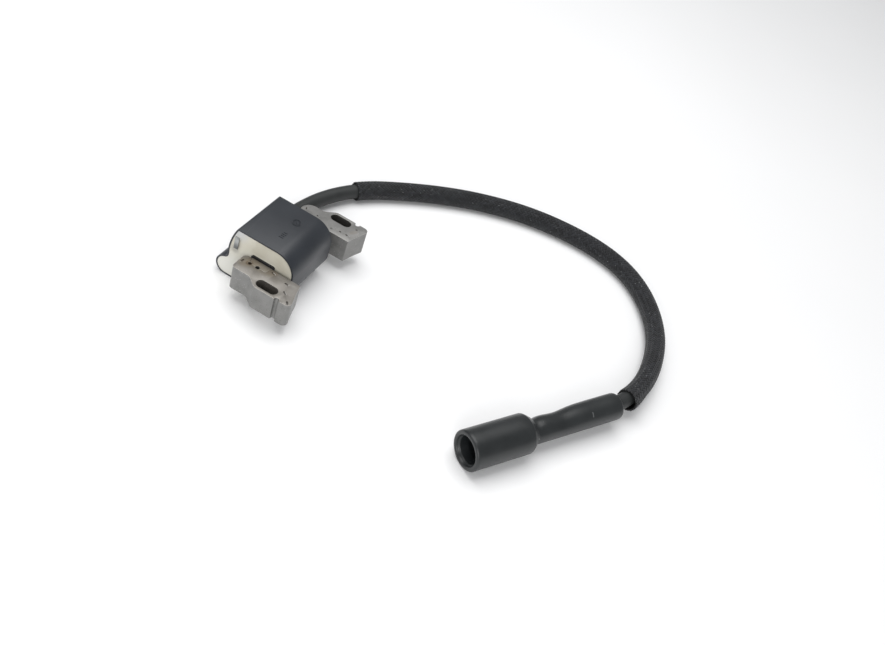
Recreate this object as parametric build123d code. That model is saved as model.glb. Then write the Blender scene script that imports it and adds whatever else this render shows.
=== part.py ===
"""Ignition coil of a small flywheel-magneto engine, with its high-tension lead and spark plug boot.

Millimetres, +Z up. The origin is midway between the two mounting slots, on the underside of the iron core.
X runs along the coil, Y away from the flywheel, and Z through the stack of core sheets.
The coil stands flat on its housing, and its lead and boot lie on the same surface.
"""

import math
import os

from build123d import *

os.makedirs("parts", exist_ok=True)

# ---- Iron core: one L (rear leg and bar) and one straight front leg, both stacked from sheets --------
SHEET = 0.635  # thickness of one core sheet
SHEET_COUNT = 20
SLOT_SPACING = 63.5  # between the centres of the two mounting slots
SLOT_WIDTH = 5.0
SLOT_LENGTH = 11.0  # end to end, along Y, for setting the air gap
LEG_INSET = 10.95  # from a slot's centre line in to the leg's inner side
LEG_OUTSET = 3.85  # from a slot's centre line out to the leg's outer side
LEG_BACK_Y = 19.2
WAIST_INSET = 0.25  # from a slot's centre line in to the narrow part's outer side
SHOULDER_Y = (4.4, 9.6)  # where the outer side starts and ends its slope in to the narrow part
SHOULDER_R = 3.0
POLE_R = 96.6  # the pole faces' arc: the flywheel's radius and the air gap
POLE_CENTRE_Y = -104.8
TOE_R = 2.4
BACK_INNER_R = 2.4
FRONT_BACK_R = 1.8  # the front leg's outer back corner
REAR_BACK_R = 5.0  # the rear leg's outer back corner
GROOVE_Y = -7.4
GROOVE_R = 1.2
GROOVE_DEPTH = 1.5
BAR_WIDTH = 10.4
BAR_Y = 10.2  # the bar's centre line
TONGUE_LENGTH = 3.6  # how far the bar's end reaches into the front leg
TONGUE_TAPER = 1.1
KEYHOLE_R = 0.9
LOCATING_HOLE_R = 1.0
STAKE_R = 0.65
STAKE_DEPTH = 0.3

# ---- Housing and tower ------------------------------------------------------------------------------
HOUSING_LENGTH = 33.2
HOUSING_TOP = 10.2  # above the core
HOUSING_BOTTOM = 6.5  # below the core
HOUSING_FRONT = 10.6  # in front of the bar
HOUSING_BACK = 13.5  # behind the bar
HOUSING_TOP_BACK = 10.3  # behind the bar, where the back has leant in at the top
HOUSING_TOP_R = 10.5
HOUSING_LOWER_R = 12.5
HOUSING_BACK_R = 1.2
HOUSING_LEAN = 0.6  # how far the back has leant in a little above the core
BACK_STRAIGHT = 1.0  # the upright part of the back, between the tower's fillet and the lean
SHELL_WALL = 0.8
LEG_CLEARANCE = 1.0  # between the housing's open rim and the front leg
POTTING_RECESS = 0.4
TOWER_BACK = 13.3  # from the bar's back to the tower's axis
TOWER_FILLET = 2.0
GLAND_LENGTH = 4.0
GLAND_WALL = 0.85  # around the seal
SEAL_LENGTH = 3.0
SEAL_WALL = 0.8

# ---- Windings, from the bar outwards ----------------------------------------------------------------
BAR_FIT = 0.1
TUBE_WALL = 0.9
PRIMARY_BUILD = 1.2
TAPE_BUILD = 0.25
NEST_GAP = 0.05
SECONDARY_WALL = 0.75
SECONDARY_BUILD = 1.1
SECONDARY_FLANGE = 1.5
FLANGE_THICKNESS = 0.9
FLANGE_START = 3.8  # from the open rim to the first flange
FLANGE_END = 3.0  # from the closed wall to the last flange
BAY_COUNT = 8
BAY_WALL = 0.6
COIL_CORNER_R = 6.0

# ---- Ignition circuit -------------------------------------------------------------------------------
BOARD_GAP = 1.0  # from the windings to the board
BOARD_THICKNESS = 1.2
BOARD_HEIGHT = 15.0
BOARD_TOP_GAP = 0.7
BOARD_END_GAP = 2.5
BOARD_START_GAP = 1.6
# Each place is measured from the board's end nearest the open rim, and up from its lower edge.
TRANSISTOR = (6.5, 2.3, 6.1)
TRANSISTOR_PLACE = (12.2, 8.5)
TRANSISTOR_TAB = (5.5, 0.6, 2.0)
CAPACITOR = (5.0, 2.4, 5.0)
CAPACITOR_PLACE = (4.7, 5.5)
CAPACITOR_R = 0.6
PICKUP_R = 2.0
PICKUP_LENGTH = 6.0
PICKUP_CORE_R = 0.8
PICKUP_WINDING_R = 1.7
PICKUP_PLACE = (23.2, 7.0)
RESISTOR_R = 0.9
RESISTOR_LENGTH = 6.0
RESISTOR_PLACE = (19.7, 12.7)
DIODE_R = 1.1
DIODE_LENGTH = 4.5
DIODE_PLACE = (12.2, 2.6)
LEG_WIRE_R = 0.3
LEG_WIRE_BURIED = 0.5
HOOKUP_R = 0.35
HOOKUP_HEIGHTS = (2.0, 5.2)  # above the board's lower edge
HOOKUP_GAP = 0.7  # in front of the first flange
STRAP_THICKNESS = 0.3
STRAP_WIDTH = 3.0
STRAP_DROP = 1.6  # from the board's lower edge down to the strap's
STRAP_CONTACT = 5.0
STRAP_GAP = 1.6  # in front of the first flange
KILL_WIDTH = 2.2
KILL_THICKNESS = 0.6
KILL_BACK = 9.6  # from the bar's back to the strip's centre line
KILL_HEIGHT = 6.6
KILL_TOP_GAP = 4.5  # below the roof
KILL_STANDOFF = 0.35
KILL_DEPTH = 6.0
KILL_FOLD_R = 0.5

# ---- Lead, sleeve and boot --------------------------------------------------------------------------
LEAD_D = 7.5
CONDUCTOR_D = 1.8
LEAD_INSERTION = 21.4  # from the gland's mouth in to the lead's end
LEAD_STRAIGHT = 17.6  # from the gland's mouth out to the first bend's corner
CONTACT_R = 3.2
CONTACT_THICKNESS = 0.8
SPIKE_R = 0.7
SPIKE_LENGTH = 4.6
JUMPER_RISE = 2.0  # from the tower's axis up to the wire that feeds the contact
SLEEVE_CLEARANCE = 0.3
SLEEVE_WALL = 0.95
RUN_SHARE = 0.45  # the share of its shorter run that each bend's tangent length takes
BOOT_LENGTH = 85.0
SOCKET_WALL = 3.05
SOCKET_R = 6.2
SOCKET_DEPTH = 22.0
SOCKET_BEVEL = 0.9
SHOULDER_S = 33.5  # from the mouth to the neck
SHOULDER_DROP = (2.2, 1.6)  # how far the shoulder's slope runs along and in
NECK_WALL = 1.85  # over the ferrule
PINCH_R = 5.7
BULGE_R = 6.1
DIP_R = 5.8
LIP_R = 1.0
NECK_END_R = 1.6
LEAD_ENTRY = 13.0  # how far the lead reaches into the neck
BOOT_FIT = 0.1
INNER_GAP = 0.3
TERMINAL_R = 3.7
TERMINAL_WALL = 0.5
TERMINAL_DEPTH = 2.0  # from the end of the socket to the terminal
TERMINAL_LENGTH = 11.0
TERMINAL_SLOT = 1.0
TERMINAL_SLOT_LENGTH = 6.8
SPRING_WIRE_R = 0.35
SPRING_OPENING = 2.1
ROD_R = 1.6
FERRULE_WALL = 0.5
FERRULE_CUP = 1.5
FERRULE_SKIRT = 7.0

# ---- Places that follow from the sizes above --------------------------------------------------------
stack = SHEET * SHEET_COUNT
slot_x = SLOT_SPACING / 2
leg_inner = slot_x - LEG_INSET
leg_outer = slot_x + LEG_OUTSET
waist_outer = slot_x - WAIST_INSET
bar_mid_z = stack / 2
bar_front_y = BAR_Y - BAR_WIDTH / 2
bar_back_y = BAR_Y + BAR_WIDTH / 2
tongue_x = -leg_inner - TONGUE_LENGTH

rim_x = -leg_inner + LEG_CLEARANCE
housing_end_x = rim_x + HOUSING_LENGTH
housing_front_y = bar_front_y - HOUSING_FRONT
housing_back_y = bar_back_y + HOUSING_BACK
housing_top_back_y = bar_back_y + HOUSING_TOP_BACK
tower_y = bar_back_y + TOWER_BACK
cavity_end_x = housing_end_x - SHELL_WALL
potting_x = rim_x + POTTING_RECESS
gland_x = housing_end_x + GLAND_LENGTH
roof_z = stack + HOUSING_TOP
floor_z = -HOUSING_BOTTOM
inner_roof_z = roof_z - SHELL_WALL
lead_r = LEAD_D / 2
seal_r = lead_r + SEAL_WALL
tower_r = seal_r + GLAND_WALL
tower_z = floor_z + tower_r
lead_start_x = gland_x - LEAD_INSERTION

sleeve_r = lead_r + SLEEVE_CLEARANCE + SLEEVE_WALL
sleeve_axis_z = floor_z + sleeve_r
boot_r = SOCKET_R + SOCKET_WALL
boot_axis_z = floor_z + boot_r

# The lead's route, from inside the tower to inside the boot. It sinks to the surface, lies on it inside
# its sleeve, and climbs again to the boot's axis.
LEAD_ROUTE = [
    (lead_start_x, tower_y, tower_z),
    (gland_x + LEAD_STRAIGHT, tower_y, tower_z),
    (72.5, 17.5, sleeve_axis_z + 0.2),
    (101.5, -12.5, sleeve_axis_z),
    (121.5, -42.0, sleeve_axis_z),
    (134.0, -75.0, sleeve_axis_z),
    (136.0, -112.5, sleeve_axis_z),
    (124.0, -139.5, sleeve_axis_z),
    (94.5, -160.0, sleeve_axis_z + 0.6),
    (57.5, -166.0, sleeve_axis_z + 3.0),
    (31.0, -161.0, boot_axis_z),
    (15.0, -150.7, boot_axis_z),
]
SLEEVE_SPAN = (82.0, 349.0)  # where the sleeve starts and ends, measured along the lead

nodes = {}


# ---- Helpers ----------------------------------------------------------------------------------------
def solid_box(x, y, z):
    """A box between pairs of limits."""
    size = Box(x[1] - x[0], y[1] - y[0], z[1] - z[0])
    return Pos((x[0] + x[1]) / 2, (y[0] + y[1]) / 2, (z[0] + z[1]) / 2) * size


def round_bar(start, end, radius):
    """A cylinder from one point to another."""
    line = Vector(*end) - Vector(*start)
    plane = Plane(origin=start, z_dir=line)
    return extrude(plane * Circle(radius), amount=line.length)


def bar_ring(x, inner, outer, corner_r=0):
    """A ring around the bar, between two distances out from its faces, rounded as a wound layer is."""
    plane = Plane(origin=(x[0], BAR_Y, bar_mid_z), x_dir=(0, 1, 0), z_dir=(1, 0, 0))
    shape = RectangleRounded(BAR_WIDTH + 2 * outer, stack + 2 * outer, max(outer, corner_r))
    hole = Rectangle(BAR_WIDTH, stack)
    if inner:
        hole = RectangleRounded(BAR_WIDTH + 2 * inner, stack + 2 * inner, inner)
    return extrude(plane * (shape - hole), amount=x[1] - x[0])


def bent_wire(points, radius):
    """A round wire through the points, with mitred corners."""
    line = Polyline(*points)
    start = Vector(*points[1]) - Vector(*points[0])
    return sweep(Plane(origin=points[0], z_dir=start) * Circle(radius), path=line, transition=Transition.RIGHT)


def turned(profile, plane):
    """A solid of revolution from (distance along the axis, radius) points, on the plane's X axis."""
    face = make_face(Polyline(*profile, close=True))
    return plane * revolve(face, Axis.X)


# ---- Core -------------------------------------------------------------------------------------------
def pole_y(x):
    return POLE_CENTRE_Y + math.sqrt(POLE_R**2 - x**2)


def corners_near(sketch, places):
    return [sketch.vertices().sort_by_distance(place)[0] for place in places]


def leg_outline(back_r):
    """One leg seen from above, on the +X side."""
    middle_x = (leg_inner + leg_outer) / 2
    pole = ThreePointArc(
        (leg_inner, pole_y(leg_inner)), (middle_x, pole_y(middle_x)), (leg_outer, pole_y(leg_outer))
    )
    sides = Polyline(
        (leg_outer, pole_y(leg_outer)),
        (leg_outer, SHOULDER_Y[0]),
        (waist_outer, SHOULDER_Y[1]),
        (waist_outer, LEG_BACK_Y),
        (leg_inner, LEG_BACK_Y),
        (leg_inner, pole_y(leg_inner)),
    )
    leg = make_face([pole, sides])
    leg = fillet(corners_near(leg, [(leg_outer, pole_y(leg_outer))]), TOE_R)
    shoulders = [(leg_outer, SHOULDER_Y[0]), (waist_outer, SHOULDER_Y[1])]
    leg = fillet(corners_near(leg, shoulders), SHOULDER_R)
    leg = fillet(corners_near(leg, [(waist_outer, LEG_BACK_Y)]), back_r)
    leg = fillet(corners_near(leg, [(leg_inner, LEG_BACK_Y)]), BACK_INNER_R)
    groove = Pos(leg_outer + GROOVE_R - GROOVE_DEPTH, GROOVE_Y) * Circle(GROOVE_R)
    slot = Pos(slot_x, 0) * Rot(0, 0, 90) * SlotOverall(SLOT_LENGTH, SLOT_WIDTH)
    return leg - groove - slot


def staked(leg, places):
    """The sheets are held together by small punched dimples."""
    for x, y in places:
        leg -= Pos(x, y, stack - STAKE_DEPTH / 2) * Cylinder(STAKE_R, STAKE_DEPTH)
    return leg


def core_holes():
    """The keyhole at the tongue's back corner and the locating hole at its end."""
    keyhole = Pos(tongue_x, bar_back_y - TONGUE_TAPER) * Circle(KEYHOLE_R)
    locating = Pos(tongue_x, BAR_Y) * Circle(LOCATING_HOLE_R)
    return keyhole + locating


def tongue():
    points = [
        (-leg_inner, bar_front_y),
        (-leg_inner, bar_back_y),
        (tongue_x, bar_back_y - TONGUE_TAPER),
        (tongue_x, bar_front_y + TONGUE_TAPER),
    ]
    return make_face(Polyline(*points, close=True))


bar_outline = Pos(0, BAR_Y) * Rectangle(2 * leg_inner, BAR_WIDTH)
l_outline = leg_outline(REAR_BACK_R) + bar_outline + tongue() - core_holes()
rear_stakes = [(26.9, 17.0), (26.2, 9.8), (23.6, 0.2), (24.3, -4.0), (24.4, -7.6), (31.3, -9.4)]
nodes["rear_leg_and_bar_sheets"] = staked(extrude(l_outline, amount=stack), rear_stakes)

front_outline = mirror(leg_outline(FRONT_BACK_R), about=Plane.YZ) - tongue() - core_holes()
front_stakes = [(-26.0, 17.4), (-23.1, 2.5), (-24.0, -5.4), (-29.4, -7.8)]
nodes["front_leg_sheets"] = staked(extrude(front_outline, amount=stack), front_stakes)


# ---- Housing ----------------------------------------------------------------------------------------
section_plane = Plane(origin=(rim_x, 0, 0), x_dir=(0, 1, 0), z_dir=(1, 0, 0))


def housing_outline():
    """The housing's cross-section, in Y and Z: a rounded body with the round tower at its lower back."""
    lean_z = tower_z + tower_r + TOWER_FILLET + BACK_STRAIGHT
    lean_middle = (housing_back_y - HOUSING_LEAN, (lean_z + roof_z) / 2)
    lean = ThreePointArc((housing_back_y, lean_z), lean_middle, (housing_top_back_y, roof_z))
    rest = Polyline(
        (housing_top_back_y, roof_z),
        (housing_front_y, roof_z),
        (housing_front_y, floor_z),
        (tower_y, floor_z),
        (tower_y, tower_z),
        (housing_back_y, tower_z),
        (housing_back_y, lean_z),
    )
    body = make_face([lean, rest])
    body = fillet(corners_near(body, [(housing_front_y, roof_z)]), HOUSING_TOP_R)
    body = fillet(corners_near(body, [(housing_front_y, floor_z)]), HOUSING_LOWER_R)
    body = fillet(corners_near(body, [(housing_top_back_y, roof_z)]), HOUSING_BACK_R)
    outline = body + Pos(tower_y, tower_z) * Circle(tower_r)
    return fillet(corners_near(outline, [(housing_back_y, tower_z + tower_r)]), TOWER_FILLET)


outer_section = housing_outline()
inner_section = offset(outer_section, amount=-SHELL_WALL)
shell = extrude(section_plane * outer_section, amount=HOUSING_LENGTH)
cavity_length = HOUSING_LENGTH - SHELL_WALL
cavity = extrude(section_plane * inner_section, amount=cavity_length)
gland = round_bar((cavity_end_x, tower_y, tower_z), (gland_x, tower_y, tower_z), tower_r)
collar = bar_ring((cavity_end_x, leg_inner - NEST_GAP), BAR_FIT, BAR_FIT + TUBE_WALL)
bar_hole = solid_box(
    (cavity_end_x, leg_inner),
    (bar_front_y - BAR_FIT, bar_back_y + BAR_FIT),
    (-BAR_FIT, stack + BAR_FIT),
)
lead_hole = round_bar((lead_start_x, tower_y, tower_z), (gland_x, tower_y, tower_z), lead_r)
seal = round_bar((gland_x - SEAL_LENGTH, tower_y, tower_z), (gland_x, tower_y, tower_z), seal_r)
nodes["housing_shell"] = shell - cavity + gland - bar_hole + collar - lead_hole - seal
nodes["lead_seal"] = seal - lead_hole

# ---- Windings ---------------------------------------------------------------------------------------
first_flange_x = rim_x + FLANGE_START
last_flange_x = cavity_end_x - FLANGE_END
tube_out = BAR_FIT + TUBE_WALL
primary_out = tube_out + PRIMARY_BUILD
tape_out = primary_out + TAPE_BUILD
nest = tape_out + NEST_GAP
secondary_in = nest + SECONDARY_WALL
secondary_out = secondary_in + SECONDARY_BUILD
flange_out = secondary_in + SECONDARY_FLANGE

board_z = (inner_roof_z - BOARD_TOP_GAP - BOARD_HEIGHT, inner_roof_z - BOARD_TOP_GAP)
strap_x = first_flange_x - STRAP_GAP
strap_z = (board_z[0] - STRAP_DROP, board_z[0] - STRAP_DROP + STRAP_WIDTH)
strap_slot = solid_box(
    (strap_x, strap_x + STRAP_CONTACT), (bar_back_y, bar_back_y + BAR_FIT + STRAP_THICKNESS), strap_z
)
strap_exit = solid_box((strap_x, strap_x + STRAP_THICKNESS), (bar_back_y, bar_back_y + tube_out), strap_z)

tube_start_x = -leg_inner + NEST_GAP
tube = bar_ring((tube_start_x, cavity_end_x), BAR_FIT, tube_out)
for flange_x in (first_flange_x, last_flange_x - FLANGE_THICKNESS):
    tube += bar_ring((flange_x, flange_x + FLANGE_THICKNESS), BAR_FIT, tape_out)
nodes["primary_bobbin"] = tube - strap_slot - strap_exit

winding_x = (first_flange_x + FLANGE_THICKNESS, last_flange_x - FLANGE_THICKNESS)
nodes["primary_winding"] = bar_ring(winding_x, tube_out, primary_out)
nodes["primary_tape"] = bar_ring(winding_x, primary_out, tape_out)

bay_pitch = (last_flange_x - first_flange_x - BAY_WALL) / BAY_COUNT
former = bar_ring((first_flange_x, last_flange_x), nest, secondary_in)
for bay in range(BAY_COUNT + 1):
    wall_x = first_flange_x + bay * bay_pitch
    former += bar_ring((wall_x, wall_x + BAY_WALL), nest, flange_out, COIL_CORNER_R)
nodes["secondary_bobbin"] = former

bays = []
for bay in range(BAY_COUNT):
    bay_x = first_flange_x + bay * bay_pitch + BAY_WALL
    bays.append(bar_ring((bay_x, bay_x + bay_pitch - BAY_WALL), secondary_in, secondary_out))
nodes["secondary_winding"] = Compound(children=bays)

# ---- Ignition circuit -------------------------------------------------------------------------------
board_front_y = bar_back_y + flange_out + BOARD_GAP
board_back_y = board_front_y + BOARD_THICKNESS
board_x = (rim_x + BOARD_START_GAP, cavity_end_x - BOARD_END_GAP)
nodes["circuit_board"] = solid_box(board_x, (board_front_y, board_back_y), board_z)


def board_point(place):
    """X and Z of a place on the board."""
    return board_x[0] + place[0], board_z[0] + place[1]


def on_board(size, place):
    """A block soldered flat on the board's back."""
    x, z = board_point(place)
    limits_x = (x - size[0] / 2, x + size[0] / 2)
    limits_z = (z - size[2] / 2, z + size[2] / 2)
    return solid_box(limits_x, (board_back_y, board_back_y + size[1]), limits_z)


def axial_part(radius, length, place):
    """A round part lying along X, with its two wires bent back to the board."""
    x, z = board_point(place)
    y = board_back_y + radius + LEG_WIRE_R
    part = round_bar((x - length / 2, y, z), (x + length / 2, y, z), radius)
    for side in (-1, 1):
        end_x = x + side * length / 2
        bend_x = end_x + side * 2 * LEG_WIRE_R
        root_x = end_x - side * LEG_WIRE_BURIED
        part += bent_wire([(root_x, y, z), (bend_x, y, z), (bend_x, board_back_y, z)], LEG_WIRE_R)
    return part


transistor = on_board(TRANSISTOR, TRANSISTOR_PLACE)
tab_place = (TRANSISTOR_PLACE[0], TRANSISTOR_PLACE[1] + (TRANSISTOR[2] + TRANSISTOR_TAB[2]) / 2)
nodes["power_transistor"] = transistor + on_board(TRANSISTOR_TAB, tab_place)
nodes["capacitor"] = fillet(on_board(CAPACITOR, CAPACITOR_PLACE).edges().filter_by(Axis.Y), CAPACITOR_R)
nodes["resistor"] = axial_part(RESISTOR_R, RESISTOR_LENGTH, RESISTOR_PLACE)
nodes["diode"] = axial_part(DIODE_R, DIODE_LENGTH, DIODE_PLACE)

pickup_x, pickup_z = board_point(PICKUP_PLACE)
pickup_y = board_back_y + PICKUP_R
pickup_low = (pickup_x, pickup_y, pickup_z - PICKUP_LENGTH / 2)
pickup_high = (pickup_x, pickup_y, pickup_z + PICKUP_LENGTH / 2)
pickup = round_bar(pickup_low, pickup_high, PICKUP_R)
waist_low = (pickup_x, pickup_y, pickup_low[2] + FLANGE_THICKNESS)
waist_high = (pickup_x, pickup_y, pickup_high[2] - FLANGE_THICKNESS)
waist = round_bar(waist_low, waist_high, PICKUP_R) - round_bar(waist_low, waist_high, PICKUP_CORE_R)
nodes["pickup_core"] = pickup - waist
pickup_coil = round_bar(waist_low, waist_high, PICKUP_WINDING_R)
nodes["pickup_winding"] = pickup_coil - round_bar(waist_low, waist_high, PICKUP_CORE_R)

# Two wires run from the primary winding's first flange to the board.
wire_x = first_flange_x - HOOKUP_GAP
wire_y = bar_back_y + primary_out - HOOKUP_R
hookups = []
for height in HOOKUP_HEIGHTS:
    wire_z = board_z[0] + height
    route = [(first_flange_x, wire_y, wire_z), (wire_x, wire_y, wire_z), (wire_x, board_front_y, wire_z)]
    hookups.append(bent_wire(route, HOOKUP_R))
nodes["primary_wires"] = Compound(children=hookups)

# The ground strap lies between the bobbin and the bar, passes out through the bobbin and meets the board.
strap_end = (strap_x, strap_x + STRAP_CONTACT)
strap_leg = (strap_x, strap_x + STRAP_THICKNESS)
strap_foot_z = (strap_z[0], board_z[0] + STRAP_WIDTH / 2)
strap = solid_box(strap_end, (bar_back_y, bar_back_y + STRAP_THICKNESS), strap_z)
strap += solid_box(strap_leg, (bar_back_y, board_front_y), strap_z)
strap += solid_box(strap_end, (board_front_y - STRAP_THICKNESS, board_front_y), strap_foot_z)
nodes["ground_strap"] = strap

# The kill terminal leaves the potting near the top and is folded down in front of it.
kill_mid_y = bar_back_y + KILL_BACK
kill_y = (kill_mid_y - KILL_WIDTH / 2, kill_mid_y + KILL_WIDTH / 2)
kill_face = potting_x - KILL_STANDOFF
kill_foot_x = (potting_x + KILL_DEPTH - KILL_WIDTH, potting_x + KILL_DEPTH)
kill_z = (roof_z - KILL_TOP_GAP - KILL_HEIGHT, roof_z - KILL_TOP_GAP)
kill_top = (kill_z[1] - KILL_THICKNESS, kill_z[1])
kill = solid_box((kill_face - KILL_THICKNESS, potting_x + KILL_DEPTH), kill_y, kill_top)
kill += solid_box((kill_face - KILL_THICKNESS, kill_face), kill_y, kill_z)
kill += solid_box(kill_foot_x, (board_back_y, kill_y[1]), kill_top)
fold = kill.edges().filter_by(Axis.Y).sort_by_distance((kill_face - KILL_THICKNESS, kill_mid_y, kill_z[1]))
nodes["kill_terminal"] = fillet(fold[0], KILL_FOLD_R)

# ---- High-tension end of the winding ----------------------------------------------------------------
contact_x = lead_start_x - SPIKE_LENGTH
contact = round_bar(
    (contact_x - CONTACT_THICKNESS, tower_y, tower_z), (contact_x, tower_y, tower_z), CONTACT_R
)
contact += round_bar((contact_x, tower_y, tower_z), (lead_start_x, tower_y, tower_z), SPIKE_R)
nodes["high_tension_contact"] = contact

jumper_x = last_flange_x - bay_pitch / 2
jumper_y = (bar_back_y + flange_out + tower_y - lead_r) / 2
jumper_z = tower_z + JUMPER_RISE
jumper_end_x = contact_x - CONTACT_THICKNESS / 2
jumper_route = [
    (jumper_x, bar_back_y + secondary_out, jumper_z),
    (jumper_x, jumper_y, jumper_z),
    (jumper_end_x, jumper_y, jumper_z),
    (jumper_end_x, tower_y, jumper_z),
]
nodes["high_tension_wire"] = (bent_wire(jumper_route, HOOKUP_R) - contact).solids().sort_by(Axis.Y)[0]

# ---- Potting: everything in the cavity that is not one of the parts above -----------------------------
potting = cavity - solid_box((rim_x - 1, potting_x), (-50, 50), (-50, 50))
bar_space = solid_box((rim_x, cavity_end_x), (bar_front_y, bar_back_y), (0, stack))
bobbin_bore = bar_ring((rim_x, cavity_end_x), 0, BAR_FIT)
potting = potting - bar_space - bobbin_bore - lead_hole
embedded = [
    "primary_bobbin",
    "primary_winding",
    "primary_tape",
    "secondary_bobbin",
    "secondary_winding",
    "circuit_board",
    "power_transistor",
    "capacitor",
    "resistor",
    "diode",
    "pickup_core",
    "pickup_winding",
    "primary_wires",
    "ground_strap",
    "kill_terminal",
    "high_tension_contact",
    "high_tension_wire",
]
for name in embedded:
    potting = potting - nodes[name]
pieces = potting.solids().sort_by(SortBy.VOLUME)
nodes["potting_compound"] = pieces[-1]


# ---- Lead and sleeve --------------------------------------------------------------------------------
def bend_radii(points):
    """The largest radius that the two runs beside each inner point allow."""
    radii = []
    for before, here, after in zip(points, points[1:], points[2:]):
        run_in = Vector(*here) - Vector(*before)
        run_out = Vector(*after) - Vector(*here)
        turn = math.radians(run_in.get_angle(run_out))
        radii.append(RUN_SHARE * min(run_in.length, run_out.length) / math.tan(turn / 2))
    return radii


def lead_tube(path, outer_d, inner_d):
    """A tube along the path, or a solid rod where inner_d is 0."""
    ring = Circle(outer_d / 2)
    if inner_d:
        ring -= Circle(inner_d / 2)
    tube = sweep(Plane(origin=path @ 0, z_dir=path % 0) * ring, path=path)
    section = math.pi / 4 * (outer_d**2 - inner_d**2)
    print(f"tube {outer_d}: length {path.length:.2f}, volume ratio {tube.volume / section / path.length:.5f}")
    return tube


route_radii = bend_radii(LEAD_ROUTE)
print("bend radii:", [round(r, 1) for r in route_radii])
lead_path = FilletPolyline(*LEAD_ROUTE, radius=route_radii)
nodes["lead_jacket"] = lead_tube(lead_path, LEAD_D, CONDUCTOR_D)
nodes["lead_conductor"] = lead_tube(lead_path, CONDUCTOR_D, 0)
sleeve_path = lead_path.trim(SLEEVE_SPAN[0] / lead_path.length, SLEEVE_SPAN[1] / lead_path.length)
nodes["loom_sleeve"] = lead_tube(sleeve_path, 2 * sleeve_r, 2 * (sleeve_r - SLEEVE_WALL))

# ---- Boot and plug terminal -------------------------------------------------------------------------
# Everything here is turned about the lead's last run. The plane's X axis runs from the boot's open mouth
# towards the neck, with its zero at the mouth.
lead_end = Vector(*LEAD_ROUTE[-1])
to_neck = (Vector(*LEAD_ROUTE[-2]) - lead_end).normalized()
lead_end_s = BOOT_LENGTH - LEAD_ENTRY
mouth = lead_end - to_neck * lead_end_s
boot_plane = Plane(origin=mouth, x_dir=to_neck, z_dir=(0, 0, 1))

terminal_s = SOCKET_DEPTH + TERMINAL_DEPTH
rod_s = terminal_s + TERMINAL_LENGTH
ferrule_s = lead_end_s - FERRULE_CUP
ferrule_end_s = lead_end_s + FERRULE_SKIRT
ferrule_r = lead_r + FERRULE_WALL
chamber_r = TERMINAL_R + SPRING_WIRE_R + INNER_GAP
neck_r = ferrule_r + INNER_GAP + NECK_WALL

neck_length = BOOT_LENGTH - SHOULDER_S
neck_end_s = BOOT_LENGTH - NECK_END_R
neck_points = [
    (SHOULDER_S + 0.03 * neck_length, PINCH_R),
    (SHOULDER_S + 0.14 * neck_length, BULGE_R),
    (SHOULDER_S + 0.30 * neck_length, DIP_R),
    (SHOULDER_S + 0.55 * neck_length, neck_r),
    (neck_end_s, neck_r),
]
neck_curve = Spline(*neck_points, tangents=[(1, 0.3), (1, 0)])
end_arc = RadiusArc(neck_points[-1], (BOOT_LENGTH, neck_r - NECK_END_R), NECK_END_R)
lip_arc = RadiusArc((0, boot_r - LIP_R), (LIP_R, boot_r), LIP_R)
cavity_points = [
    (BOOT_LENGTH, neck_r - NECK_END_R),
    (BOOT_LENGTH, lead_r + BOOT_FIT),
    (ferrule_end_s + INNER_GAP, lead_r + BOOT_FIT),
    (ferrule_end_s + INNER_GAP, ferrule_r + INNER_GAP),
    (ferrule_s - INNER_GAP, ferrule_r + INNER_GAP),
    (ferrule_s - INNER_GAP, ROD_R + INNER_GAP),
    (rod_s + INNER_GAP, ROD_R + INNER_GAP),
    (rod_s + INNER_GAP, chamber_r),
    (SOCKET_DEPTH, chamber_r),
    (SOCKET_DEPTH, SOCKET_R),
    (SOCKET_BEVEL, SOCKET_R),
    (0, SOCKET_R + SOCKET_BEVEL),
    (0, boot_r - LIP_R),
]
shoulder_top = (SHOULDER_S - SHOULDER_DROP[0], boot_r)
shoulder_foot = (SHOULDER_S, boot_r - SHOULDER_DROP[1])
shoulder = Polyline((LIP_R, boot_r), shoulder_top, shoulder_foot, neck_points[0])
boot_face = make_face([lip_arc, shoulder, neck_curve, end_arc, Polyline(*cavity_points)])
nodes["plug_boot"] = boot_plane * revolve(boot_face, Axis.X)

terminal_profile = [
    (terminal_s, TERMINAL_R),
    (rod_s, TERMINAL_R),
    (rod_s, 0),
    (rod_s - 2 * TERMINAL_WALL, 0),
    (rod_s - 2 * TERMINAL_WALL, TERMINAL_R - TERMINAL_WALL),
    (terminal_s, TERMINAL_R - TERMINAL_WALL),
]
terminal = turned(terminal_profile, boot_plane)
spring_s = terminal_s + TERMINAL_LENGTH / 3
spring_centre = boot_plane.from_local_coords((spring_s, 0, 0))
ring_plane = Plane(origin=spring_centre, z_dir=to_neck)
spring = ring_plane * Torus(TERMINAL_R, SPRING_WIRE_R)
gap_size = (4 * SPRING_WIRE_R, SPRING_OPENING, 4 * SPRING_WIRE_R)
spring_gap = ring_plane * Pos(TERMINAL_R, 0, 0) * Box(*gap_size)
slot_cut = Box(TERMINAL_SLOT_LENGTH, 3 * TERMINAL_R, TERMINAL_SLOT)
slot_place = Pos(terminal_s + TERMINAL_SLOT_LENGTH / 2, 0, 0)
for angle in (0, 90):
    terminal = terminal - boot_plane * slot_place * Rot(angle, 0, 0) * slot_cut
nodes["terminal_spring"] = spring - spring_gap
nodes["plug_terminal"] = terminal - spring

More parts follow.
